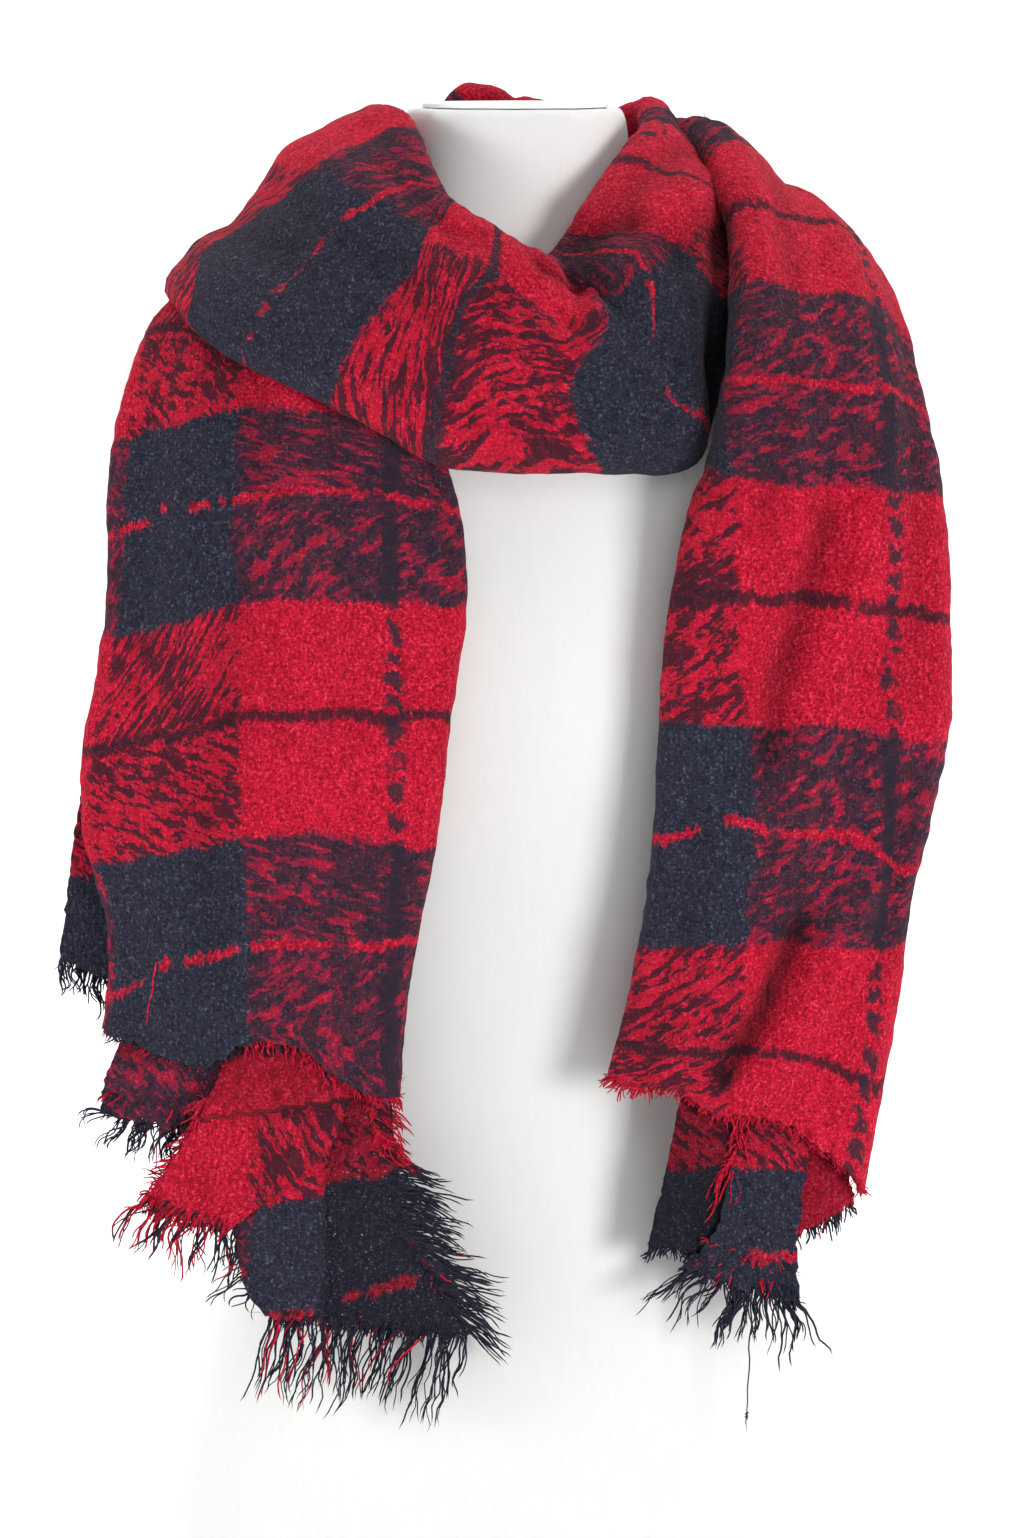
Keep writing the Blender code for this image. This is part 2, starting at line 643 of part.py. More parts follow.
def hanging_depth(tail, x, drop):
    """Depth of the middle surface of a tail, for a place across it and a drop."""
    outer_x, outer_y = tail_edge(tail, 1, drop / MM)
    inner_x, inner_y = tail_edge(tail, 4, drop / MM)
    bow = PATH[0 if tail == "left" else -1][8]
    share = (x / MM - outer_x) / (inner_x - outer_x)
    swell = 1 - (2 * share - 1) ** 2
    return (outer_y + (inner_y - outer_y) * share - bow * swell) * MM


def layer_point(layer, down, across):
    """A point of a hanging layer, from its top (0) to its hem (1) and left to right."""
    rows = layer["rows"]
    place = down * (len(rows) - 1)
    row = min(int(place), len(rows) - 2)
    share = place - row
    left_x, left_drop, right_x, right_drop = [
        above + (below - above) * share for above, below in zip(rows[row], rows[row + 1])]
    x = (left_x + (right_x - left_x) * across) * MM
    drop = (left_drop + (right_drop - left_drop) * across) * MM
    relief = 0.0
    for position, height in layer["pleats"]:
        relief += height * math.exp(-((across - position) / 0.13) ** 2)
    y = hanging_depth(layer["tail"], x, drop) - layer["seat"] * MM - relief * MM * down
    return Vector((x, y, NECK_TOP - drop))


def layer_grid(layer):
    """Middle surface of one hanging layer."""
    rows = 2 * (len(layer["rows"]) - 1)
    columns = layer["columns"]
    return [[layer_point(layer, row / rows, column / columns) for column in range(columns + 1)]
            for row in range(rows + 1)]


# ---------------------------------------------------------------- fringes
def edge_points(grid, side):
    """The points of one edge of a grid, and the direction that leads away from it."""
    if side == "hem":
        return grid[-1], Vector((0, 0, -1))
    if side == "left":
        return [line[0] for line in grid], Vector((-1, 0, 0))
    if side == "right":
        return [line[-1] for line in grid], Vector((1, 0, 0))
    face_start = BACK_POINTS + ARC_POINTS
    return grid[0][face_start:face_start + FACE_POINTS], Vector((0, 0, -1))


def along_edge(edge, share):
    """A point on an edge, at a share of its length."""
    lengths = [0.0]
    for before, after in zip(edge, edge[1:]):
        lengths.append(lengths[-1] + (after - before).length)
    place = share * lengths[-1]
    for step in range(len(edge) - 1):
        if place <= lengths[step + 1] or step == len(edge) - 2:
            part = (place - lengths[step]) / (lengths[step + 1] - lengths[step])
            return edge[step].lerp(edge[step + 1], part)
    return edge[-1]


def add_strand(points, faces, root, way, reach, lean):
    """One lock of threads, grown from a four-cornered root on the strip."""
    centre = sum((points[corner] for corner in root), Vector()) / 4
    ring = root
    for done, size in STRAND_LEVELS:
        place = centre + way * (reach * done) + lean * (done * done)
        fresh = []
        for corner in root:
            arm = (points[corner] - centre) * size
            points.append(place + arm)
            fresh.append(len(points) - 1)
        for step in range(4):
            after = (step + 1) % 4
            faces.append([ring[step], ring[after], fresh[after], fresh[step]])
        ring = fresh
    faces.append(ring)


def make_fringe(row, grids, made_of):
    """Strands on a thin strip that follows an edge, one closed body."""
    name, owner, side, first, last, strands, length, heading_a, heading_b = row
    edge, away = edge_points(grids[owner], side)
    chance = random.Random(name)
    cells = 2 * strands + 1
    thick = Vector((0, 1, 0)) * (WALL / 2)
    pitch = (along_edge(edge, last) - along_edge(edge, first)).length / strands
    points, faces = [], []
    for station in range(cells + 1):
        foot = along_edge(edge, first + (last - first) * station / cells) + away * STRIP_GAP
        for corner in (foot - thick, foot + thick, foot + away * STRIP + thick,
                       foot + away * STRIP - thick):
            points.append(corner)
    for cell in range(cells):
        a, b = 4 * cell, 4 * cell + 4
        faces.append([a, a + 1, b + 1, b])
        faces.append([a + 1, a + 2, b + 2, b + 1])
        faces.append([a + 3, a, b, b + 3])
        root = [a + 3, a + 2, b + 2, b + 3]
        if cell % 2 == 0:
            faces.append(root)
            continue
        number = cell // 2
        heading = math.radians(heading_a + (heading_b - heading_a) * (number + 0.5) / strands)
        reach = length * MM * chance.uniform(0.66, 1.0)
        if name in LONG_STRAND and LONG_STRAND[name][0] == number:
            reach, heading = LONG_STRAND[name][1] * MM, math.radians(LONG_STRAND[name][2])
        way = Vector((math.sin(heading), 0, -math.cos(heading)))
        if side in ("left", "right"):
            way.y = -SIDE_LEAN
        beside = Vector((math.cos(heading), 0, math.sin(heading)))
        clump = (1 - number % CLUMP) * CLUMP_PULL * pitch
        add_strand(points, faces, root, way, reach, beside * clump)
    faces.append([3, 2, 1, 0])
    end = 4 * cells
    faces.append([end, end + 1, end + 2, end + 3])
    return make_object(name, points, faces, made_of)


# ---------------------------------------------------------------- build
def main():
    """Make the form, wind the scarf round it, then hang its layers and fringes."""
    clear_scene()
    linen = make_material("form_linen", FORM_WHITE, 0.75)
    plate = make_material("cap_plastic", CAP_WHITE, 0.35)
    wool = make_material("red_wool", RED, 0.95)
    yarn = make_material("navy_yarn", NAVY, 0.95)
    form = make_form(linen)
    make_cap(plate)
    band = Band()
    grids = {}
    laid = {"dress_form": surface_of(form)}
    for stretch in STRETCHES:
        grids[stretch] = lay_stretch(band, stretch, laid, wool)
    for name, layer in LAYERS.items():
        grids[name] = layer_grid(layer)
        cloth_wall(name, grids[name], wool)
    for row in FRINGES:
        make_fringe(row, grids, yarn)


main()
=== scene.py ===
# %% [markdown]
# # A blanket scarf on a dress form
#
# The scarf is one long brushed wool cloth with a red and navy plaid and raw, frayed edges. It
# is folded lengthwise into a soft flat band and wound once round the neck of a white dress
# form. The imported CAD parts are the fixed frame: each stretch of the cloth, each loose layer
# and each fringe is built again here, thin and fine, on the form of its solid.

# %% Load the frame
import math
import random

import bpy
import numpy as np
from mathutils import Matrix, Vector, noise
from mathutils.bvhtree import BVHTree


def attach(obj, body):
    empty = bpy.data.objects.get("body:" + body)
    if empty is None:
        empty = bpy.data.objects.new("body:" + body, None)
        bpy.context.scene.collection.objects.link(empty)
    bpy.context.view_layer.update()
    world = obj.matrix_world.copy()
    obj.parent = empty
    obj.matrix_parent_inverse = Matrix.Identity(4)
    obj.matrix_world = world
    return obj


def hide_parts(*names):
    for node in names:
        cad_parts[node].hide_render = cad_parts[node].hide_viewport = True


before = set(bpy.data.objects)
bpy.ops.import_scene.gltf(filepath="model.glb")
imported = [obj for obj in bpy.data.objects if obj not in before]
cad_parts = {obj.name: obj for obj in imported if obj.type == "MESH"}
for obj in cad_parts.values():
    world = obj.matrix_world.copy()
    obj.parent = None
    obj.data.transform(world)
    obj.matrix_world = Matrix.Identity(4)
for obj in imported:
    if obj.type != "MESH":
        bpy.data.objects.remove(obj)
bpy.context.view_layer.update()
MM = 0.001
NECK_TOP = 840.0  # height of the form's neck top above its base, in millimetres

# %% [markdown]
# ## Camera
#
# A long lens from well in front keeps the form's sides nearly parallel. The camera stands a
# little above the neck and looks slightly down, so the rolls of the scarf hide the form's
# shoulders, and the floor and its sweep fill the background.

# %% Camera
CAMERA_PLACE = (-0.0015, -2.6, 0.89)
LOOK_DOWN = 8.492       # degrees below the level
SENSOR_HEIGHT = 24.0    # millimetres
FRAME_HEIGHT = 1538     # pixels
FOCAL_PIXELS = 5098     # focal length in pixels of that frame
bpy.ops.object.camera_add(location=CAMERA_PLACE,
                          rotation=(math.radians(90 - LOOK_DOWN), 0, 0))
camera = bpy.context.object
camera.name = "camera"
camera.data.sensor_fit = "VERTICAL"
camera.data.sensor_height = SENSOR_HEIGHT
camera.data.lens = FOCAL_PIXELS / FRAME_HEIGHT * SENSOR_HEIGHT
camera.data.clip_end = 50
bpy.context.scene.camera = camera
print("lens, millimetres:", round(camera.data.lens, 1))

# %% [markdown]
# ## Helpers for pieces
#
# Cloth, threads and hairs can't be pulled out of a cube: they are thousands of small faces
# whose places follow a rule. So their points and faces are worked out in lists, and one helper
# makes the object. Operators act on whatever is selected, so every piece starts from an empty
# selection. Numbers written on the points let a material know where on the cloth it is.

# %% Helpers for pieces
def pick(piece):
    """Make one piece the only selected and active object."""
    bpy.ops.object.select_all(action="DESELECT")
    piece.select_set(True)
    bpy.context.view_layer.objects.active = piece


def new_piece(name, points, faces):
    """A smooth shaded object with these points, in metres, and these faces."""
    mesh = bpy.data.meshes.new(name)
    mesh.from_pydata(points, [], faces)
    piece = bpy.data.objects.new(name, mesh)
    bpy.context.collection.objects.link(piece)
    pick(piece)
    bpy.ops.object.shade_smooth()
    return piece


def turn_outwards(piece):
    """Make all faces of a piece of closed parts point outwards."""
    pick(piece)
    bpy.ops.object.mode_set(mode="EDIT")
    bpy.ops.mesh.select_all(action="SELECT")
    bpy.ops.mesh.normals_make_consistent(inside=False)
    bpy.ops.object.mode_set(mode="OBJECT")


def apply_all(piece):
    """Apply every modifier of a piece, from the first to the last."""
    pick(piece)
    for modifier in list(piece.modifiers):
        bpy.ops.object.modifier_apply(modifier=modifier.name)


def put_numbers(piece, **numbers):
    """Write numbers of the cloth on the points of a piece: one for all, or one for each."""
    count = len(piece.data.vertices)
    for label, values in numbers.items():
        attribute = piece.data.attributes.new("cloth_" + label, "FLOAT", "POINT")
        attribute.data.foreach_set(
            "value", np.broadcast_to(np.ravel(values), count).astype(np.float32))


print("helpers for pieces ready")

# %% [markdown]
# ## Helpers for materials
#
# A node tree is easier to read when each node is one line. A helper adds a node, sets its
# plain values and joins its inputs, and the few kinds that come again and again, such as a
# soft step or a mix of two colours, have a short name of their own.

# %% Helpers for materials
class Nodes:
    """A material's node tree, written one line for each node."""

    def __init__(self, name):
        self.material = bpy.data.materials.new(name)
        self.material.use_nodes = True
        self.tree = self.material.node_tree

    def join(self, value, socket):
        """Link a node's first output or a given output, or set a plain value."""
        if isinstance(value, bpy.types.Node):
            value = value.outputs[0]
        if isinstance(value, bpy.types.NodeSocket):
            self.tree.links.new(value, socket)
        else:
            socket.default_value = value

    def feed(self, node, **joined):
        """Join a node's inputs by name, an underscore standing for a space."""
        for key, value in joined.items():
            self.join(value, node.inputs[key.replace("_", " ")])
        return node

    def add(self, kind, settings=None, **joined):
        """Add a node with its settings and its inputs."""
        made = self.tree.nodes.new("ShaderNode" + kind)
        for key, value in (settings or {}).items():
            setattr(made, key, value)
        return self.feed(made, **joined)

    def math(self, operation, *values, kind="Math", **settings):
        """A Math node, or with kind another node whose inputs come in order."""
        made = self.add(kind, {"operation": operation, **settings})
        for value, socket in zip(values, made.inputs):
            self.join(value, socket)
        return made

    def plus(self, first, second):
        """The sum of two values."""
        return self.math("ADD", first, second)

    def minus(self, first, second, clamp=False):
        """The difference of two values, kept from 0 to 1 with clamp."""
        return self.math("SUBTRACT", first, second, use_clamp=clamp)

    def times(self, first, second):
        """The product of two values."""
        return self.math("MULTIPLY", first, second)

    def grain(self, where, scale, detail=2.0, rough=0.5):
        """Noise from 0 to 1 at a scale in cells a metre."""
        return self.add("TexNoise", Vector=where, Scale=scale, Detail=detail,
                        Roughness=rough).outputs["Fac"]

    def step(self, value, low, high):
        """A soft step from 0 at low to 1 at high."""
        return self.add("MapRange", {"interpolation_type": "SMOOTHSTEP"}, Value=value,
                        From_Min=low, From_Max=high).outputs["Result"]

    def mix(self, share, low, high, strength=1.0):
        """Mix two colours by a share, which strength makes weaker."""
        made = self.add("Mix", {"data_type": "RGBA"})
        factor, colour_a, colour_b = (made.inputs[i] for i in (0, 6, 7))
        self.join(self.times(share, strength) if strength < 1 else share, factor)
        self.join(low, colour_a)
        self.join(high, colour_b)
        return made.outputs[2]

    def surface(self, **joined):
        """Join the shader's inputs by name, and give back the finished material."""
        self.feed(self.tree.nodes["Principled BSDF"], **joined)
        return self.material


print("helpers for materials ready")

# %% [markdown]
# ## The path of the folded band
#
# A wound scarf is easiest to describe by cutting the folded band across, again and again,
# along its length. Each row below is such a section: the place of the folded edge away from
# the neck, the place of the one next to the neck, how thick the fold is, and how much the
# middle stands out. Between the rows a smooth curve fills in. A simulation could wind the cloth
# too, but where its rolls land is hard to steer, and these rows put each one in its place.

# %% The band's sections
# outer x, y, drop below the neck top, inner x, y, drop, loft, bow, in millimetres
PATH = {
    "left_tail": (
        (-204, -102, 453, -49, -126, 483, 20, 4),
        (-200, -101, 425, -56, -126, 442, 20, 4),
        (-201, -100, 395, -50, -127, 402, 20, 4),
        (-212, -98, 355, -42, -127, 360, 19, 4),
        (-212, -96, 315, -37, -128, 318, 18, 5),
        (-204, -93, 275, -31, -128, 277, 18, 5),
        (-199, -90, 235, -26, -128, 237, 17, 6),
        (-199, -84, 200, -28, -124, 200, 16, 7),
        (-197, -76, 165, -38, -112, 162, 14, 6),
        (-191, -62, 136, -54, -94, 122, 12, 5),
        (-181, -36, 117, -68, -66, 90, 11, 4),
    ),
    "neck_inner": (
        (-170, -6, 106, -74, -28, 68, 11, 3),
        (-156, 30, 108, -70, 16, 52, 11, 3),
        (-128, 58, 115, -60, 46, 32, 11, 3),
        (-90, 76, 121, -40, 62, 10, 11, 3),
        (-52, 83, 125, -25, 67, -8, 11, 2),
        (-15, 87, 126, -5, 70, 0, 11, 2),
        (22, 87, 124, 17, 69, 4, 11, 2),
        (68, 78, 113, 47, 59, 6, 11, 2),
        (101, 50, 97, 66, 36, -2, 11, 3),
    ),
    "cowl": (
        (112, 12, 86, 69, 6, 5, 12, 4),
        (115, -24, 82, 66, -20, 10, 13, 6),
        (112, -64, 84, 55, -43, 22, 15, 9),
        (107, -94, 98, 41, -62, 41, 17, 11),
        (102, -110, 130, 26, -78, 61, 19, 13),
        (90, -119, 161, 14, -88, 76, 20, 15),
        (60, -127, 172, 2, -92, 69, 21, 16),
        (25, -130, 173, -10, -90, 60, 21, 17),
        (-10, -131, 172, -24, -86, 52, 21, 17),
        (-40, -130, 166, -35, -79, 44, 20, 16),
        (-75, -125, 146, -42, -67, 30, 19, 14),
        (-115, -112, 128, -49, -51, 15, 17, 12),
        (-149, -86, 112, -55, -30, 6, 16, 9),
        (-167, -46, 101, -60, -3, 4, 15, 8),
    ),
    "neck_outer": (
        (-167, 0, 98, -64, 26, 6, 15, 8),
        (-154, 44, 101, -62, 55, 8, 14, 6),
        (-122, 78, 112, -47, 76, 8, 15, 6),
        (-75, 98, 122, -22, 86, 8, 15, 6),
        (-15, 106, 127, 5, 88, 8, 15, 6),
        (45, 102, 122, 34, 82, 9, 15, 6),
        (100, 84, 109, 61, 64, 10, 15, 6),
        (140, 52, 97, 78, 40, 10, 15, 5),
    ),
    "right_tail": (
        (164, 18, 92, 87, 14, 10, 15, 5),
        (176, -18, 93, 95, -22, 17, 16, 7),
        (188, -50, 110, 103, -66, 39, 17, 8),
        (196, -72, 139, 106, -108, 76, 18, 7),
        (204, -84, 175, 103, -136, 118, 19, 6),
        (209, -90, 208, 95, -142, 160, 20, 5),
        (212, -94, 241, 86, -140, 196, 20, 5),
        (213, -97, 276, 76, -136, 250, 20, 5),
        (211, -99, 312, 73, -134, 300, 20, 5),
        (203, -100, 350, 71, -133, 348, 20, 5),
        (194, -101, 392, 66, -132, 392, 20, 5),
        (188, -102, 440, 59, -131, 430, 20, 5),
        (180, -103, 489, 53, -130, 455, 20, 5),
        (173, -104, 536, 48, -129, 473, 20, 5),
    ),
}
stretch_names = [stretch for stretch, sections in PATH.items() for _ in sections]
rows_mm = np.array([section for sections in PATH.values() for section in sections], float)
LAST_ROW = len(rows_mm) - 1
middles = (rows_mm[:, :3] + rows_mm[:, 3:6]) / 2
places = np.concatenate(([0.0], np.cumsum(np.linalg.norm(np.diff(middles, axis=0), axis=1))))
behind = np.maximum(np.arange(LAST_ROW + 1) - 1, 0)
ahead = np.minimum(np.arange(LAST_ROW + 1) + 1, LAST_ROW)
slopes = (rows_mm[ahead] - rows_mm[behind]) / (places[ahead] - places[behind])[:, None]
print("length of the wound band, metres:", round(places[-1] * MM, 2))

# %% Read the band anywhere
HEADING_REACH = 4.0  # the band's heading is taken over this length before and after a place


def band_at(place):
    """The columns of PATH at a place along the band, on a smooth cubic curve."""
    row = int(np.clip(np.searchsorted(places, place) - 1, 0, LAST_ROW - 1))
    length = places[row + 1] - places[row]
    t = (place - places[row]) / length
    return ((2 * t ** 3 - 3 * t ** 2 + 1) * rows_mm[row]
            + (t ** 3 - 2 * t ** 2 + t) * length * slopes[row]
            + (3 * t ** 2 - 2 * t ** 3) * rows_mm[row + 1]
            + (t ** 3 - t ** 2) * length * slopes[row + 1])


def section_at(place):
    """Outer edge, inner edge, outward direction, loft and bow at a place."""
    values = band_at(place)
    outer = np.array((values[0], values[1], NECK_TOP - values[2]))
    inner = np.array((values[3], values[4], NECK_TOP - values[5]))
    before = band_at(max(place - HEADING_REACH, 0))
    after = band_at(min(place + HEADING_REACH, places[-1]))
    heading = (after[:3] + after[3:6] - before[:3] - before[3:6]) * (1, 1, -1)
    across = inner - outer
    across /= np.linalg.norm(across)
    heading = heading - across * heading.dot(across)
    outward = np.cross(across, heading / np.linalg.norm(heading))
    return outer, inner, outward, values[6], values[7]


print("loft and bow in the middle of the band:", np.round(section_at(places[-1] / 2)[3:], 1))

# %% [markdown]
# ## Folds and creases
#
# Soft ridges and troughs run over the band where the thick wool is gathered: some long and
# shallow along the hanging ends, some short and steep where the band turns at the neck. They
# could be pulled up by hand in sculpt mode. Here each is a row of a table, a line on the band
# with a reach and a height, uneven in length, depth and spacing, also where only the back
# shows. The wool in deep troughs and between two rolls gets so little light that a painted
# shade darkens its colour as well.

# %% Tables of folds
# from row, position, to row, position across (0 outer edge, 1 inner edge), reach, height; a
# row is counted in sections of PATH, reach and height are in millimetres
FOLDS = (
    (0.0, 0.10, 9.0, 0.14, 13, -3.0),
    (0.0, 0.28, 8.0, 0.30, 18, 3.0),
    (1.0, 0.62, 7.0, 0.55, 20, -2.5),
    (0.0, 0.84, 7.0, 0.80, 14, 2.5),
    (21.0, 0.45, 24.4, 0.70, 15, 4.0),
    (24.6, 0.97, 26.2, 0.58, 11, -9.0),
    (26.0, 0.90, 28.0, 0.72, 14, 4.0),
    (27.0, 0.20, 32.0, 0.30, 16, -3.0),
    (28.0, 0.62, 33.0, 0.66, 18, 3.5),
    (29.5, 0.94, 32.0, 0.84, 10, -3.0),
    (33.0, 0.40, 41.0, 0.35, 16, -4.0),
    (33.0, 0.70, 41.0, 0.72, 15, 3.5),
    (42.0, 0.60, 47.0, 0.62, 15, -3.5),
    (42.0, 0.25, 48.0, 0.32, 18, 3.0),
    (47.0, 0.42, 55.0, 0.30, 16, -3.0),
    (46.0, 0.80, 55.0, 0.76, 14, 3.0),
)
CREASES = (
    # left end
    (1.5, 0.36, 6.0, 0.40, 9, -1.6), (3.0, 0.72, 8.5, 0.66, 8, 1.5),
    (6.5, 0.22, 10.5, 0.30, 9, 2.0), (7.5, 0.46, 11.0, 0.52, 8, -2.0),
    (0.5, 0.20, 2.6, 0.24, 7, 1.4), (0.2, 0.52, 3.4, 0.50, 9, 1.3),
    # first pass behind the neck
    (12.0, 0.35, 18.0, 0.45, 10, -2.0), (13.0, 0.75, 17.0, 0.70, 8, 2.0),
    (15.5, 0.20, 20.5, 0.30, 9, 1.8), (15.7, 1.04, 17.2, 1.00, 9, 4.0),
    (14.0, 1.00, 14.9, 1.03, 8, 2.0), (16.4, 0.92, 16.0, 1.10, 4, -2.5),
    # front roll
    (20.5, 0.30, 23.5, 0.40, 9, -1.8), (21.5, 0.78, 24.2, 0.86, 8, -2.6),
    (23.2, 0.20, 26.0, 0.12, 10, 2.0), (25.0, 0.72, 27.0, 0.52, 8, 2.6),
    (25.6, 0.40, 29.0, 0.36, 12, 1.6), (27.6, 0.86, 31.0, 0.80, 7, -2.0),
    (28.5, 0.50, 32.6, 0.50, 9, -1.8), (29.5, 0.14, 33.0, 0.18, 9, 1.8),
    (30.5, 0.72, 33.5, 0.62, 8, 2.2), (31.5, 0.36, 34.5, 0.30, 9, -2.2),
    (32.5, 0.88, 35.0, 0.80, 7, 2.0),
    # rib of the front roll, the hollow at the bottom of the neck opening, the line below it
    (28.95, 0.06, 28.5, 0.46, 5, 1.3), (28.5, 0.46, 27.3, 0.88, 5, 1.3),
    (26.0, 0.86, 24.7, 0.76, 8, -5.0), (25.0, 0.72, 24.4, 0.62, 8, -2.5),
    (24.0, 0.93, 23.35, 0.72, 6, -3.5), (23.35, 0.72, 23.2, 0.36, 6, -2.5),
    # deep valley between the front roll and the right end
    (22.5, 0.20, 23.9, 0.06, 10, -7.0), (23.9, 0.06, 25.0, -0.12, 10, -7.0),
    # second pass behind the neck
    (34.0, 0.20, 38.0, 0.14, 10, 2.6), (35.0, 0.50, 39.5, 0.56, 9, -2.6),
    (36.5, 0.84, 41.0, 0.90, 9, 2.0), (37.5, 0.30, 42.0, 0.38, 8, 1.8),
    (39.0, 0.66, 43.0, 0.60, 8, -1.8),
    # right end
    (42.5, 0.44, 46.0, 0.50, 9, 2.2), (43.5, 0.76, 47.5, 0.80, 8, -2.2),
    (44.0, 0.16, 49.0, 0.18, 9, -1.8), (46.9, 0.38, 48.3, 0.41, 9, 4.0),
    (48.3, 0.41, 50.6, 0.53, 9, 4.5), (47.4, 0.53, 50.0, 0.66, 8, -4.5),
    (51.9, 0.24, 53.0, 0.35, 9, 4.0), (53.0, 0.35, 54.3, 0.46, 9, 4.5),
    (52.2, 0.44, 54.2, 0.62, 8, -7.5), (50.5, 0.12, 52.5, 0.10, 8, -1.6),
    (51.0, 0.88, 55.0, 0.90, 8, -1.5), (44.5, 1.06, 47.2, 1.04, 8, -4.0),
)
# where the wool is painted in deep shade: as above, with a share of painted shade for the height
SHADED = (
    (22.3, 0.16, 24.0, 0.02, 17, 0.75),
    (24.0, 0.02, 25.4, -0.16, 17, 0.70),
    (44.8, 1.12, 47.6, 1.12, 15, 0.60),
    (26.1, 0.93, 24.6, 0.80, 9, 0.35),
    (16.6, 0.98, 15.4, 1.02, 8, 0.30),
)
# row, reach in rows, how far the outer edge is drawn to the right and down, in millimetres
PUSHES = ((25.1, 0.75, 5.0, 11.0), (27.2, 1.2, 0.0, -4.0))
# position across, how far the hem is drawn up, in millimetres
LEFT_HEM = ((0.0, 0), (0.16, -4), (0.34, -7), (0.42, 5), (0.52, 14), (0.66, 16), (0.78, 6),
            (0.9, 1), (1.0, 0))
RIGHT_HEM = ((0.0, 0), (0.08, 9), (0.2, 15), (0.36, 19), (0.5, 14), (0.62, 7), (0.76, 11),
             (0.9, 4), (1.0, 0))
print(len(FOLDS), "large folds and", len(CREASES), "small creases")

# %% Read the tables
ROW_LENGTH = 24.0   # usual length between two rows of PATH, in millimetres
FOLD_ENDS = 1.5     # a fold fades out within this many rows beyond its ends
HEM_FADE = 90.0     # length from a hem in which folds get lower and the hem is drawn up
PUSH_WIDTH = 0.7    # share of the width, from the outer edge, that a push moves


def folds_at(table, row, position, width):
    """Height of a table of long folds at a row and a position, in millimetres."""
    height = 0.0
    for row_a, position_a, row_b, position_b, reach, rise in table:
        if row_a - FOLD_ENDS < row < row_b + FOLD_ENDS:
            share = min(max((row - row_a) / (row_b - row_a), 0.0), 1.0)
            aside = (position - position_a - (position_b - position_a) * share) * width
            beyond = max(row_a - row, row - row_b, 0.0) * ROW_LENGTH
            height += rise * math.exp(-(aside * aside + beyond * beyond) / (reach * reach))
    return height


def creases_at(table, row, position, width):
    """Height of a table of creases, which may lie in any direction, in millimetres."""
    height = 0.0
    for row_a, position_a, row_b, position_b, reach, rise in table:
        if min(row_a, row_b) - FOLD_ENDS < row < max(row_a, row_b) + FOLD_ENDS:
            run = ((row_b - row_a) * ROW_LENGTH, (position_b - position_a) * width)
            gap = ((row - row_a) * ROW_LENGTH, (position - position_a) * width)
            share = (gap[0] * run[0] + gap[1] * run[1]) / (run[0] ** 2 + run[1] ** 2)
            share = min(max(share, 0.0), 1.0)
            away = math.hypot(gap[0] - run[0] * share, gap[1] - run[1] * share)
            height += rise * math.exp(-(away / reach) ** 2)
    return height


def hem_share(place, least):
    """Share of its height that a fold keeps: least at a hem, and all of it further in."""
    return min(least + (1 - least) * min(place, places[-1] - place) / HEM_FADE, 1.0)


def hem_lift(place, position):
    """How far a point near one of the two hems is drawn up, in millimetres."""
    for from_hem, table in ((place, LEFT_HEM), (places[-1] - place, RIGHT_HEM)):
        if from_hem < HEM_FADE:
            shares, lifts = zip(*table)
            return float(np.interp(position, shares, lifts)) * (1 - from_hem / HEM_FADE) ** 2
    return 0.0


def pushed(row, position):
    """How far a point is drawn aside by PUSHES, in millimetres."""
    moved = np.zeros(3)
    for push_row, reach, right, down in PUSHES:
        pull = math.exp(-((row - push_row) / reach) ** 2)
        pull *= min(max(1 - position / PUSH_WIDTH, 0.0), 1.0) ** 1.5
        moved += np.array((right, 0.0, -down)) * pull
    return moved


print("deepest crease, millimetres:", min(crease[-1] for crease in CREASES))

# %% [markdown]
# ## The cloth of the band
#
# One fine grid of points covers the whole band, from the open slit behind, round one folded
# edge, over the face and round the other edge. To sit exactly on the solids, each point is
# moved along its own direction to the surface of the CAD wall it belongs to. The solids have
# flat facets, so the distances moved are smoothed before the creases and the small lumps of
# brushed wool are added.

# %% One row of points round the band
STEP = 3.2                      # between two rows of the grid, in millimetres
SLIT = 12.0                     # width of the open slit behind
BACK, ARC, FACE = 12, 7, 54     # points from the slit to an edge, round it, over the face
COLUMNS = 2 * (BACK + ARC) + FACE


def loop_offsets(half_width, half_loft):
    """Round the band: offset across, offset out, and the two parts of the normal."""
    straight = half_width - half_loft
    loop = []
    for side in (-1, 1):
        back = [(side * (SLIT / 2 + (straight - SLIT / 2) * i / BACK), -half_loft, 0.0, -1.0)
                for i in range(BACK)]
        arc = []
        for i in range(ARC):
            angle = math.pi * (i + 0.5) / ARC
            arc.append((side * (straight + math.sin(angle) * half_loft),
                        -math.cos(angle) * half_loft, side * math.sin(angle), -math.cos(angle)))
        if side < 0:
            loop = back + arc
            loop += [(straight * (2 * i / (FACE - 1) - 1), half_loft, 0.0, 1.0)
                     for i in range(FACE)]
        else:
            loop += list(reversed(back + arc))
    return np.array(loop)


print("points round the band:", COLUMNS)

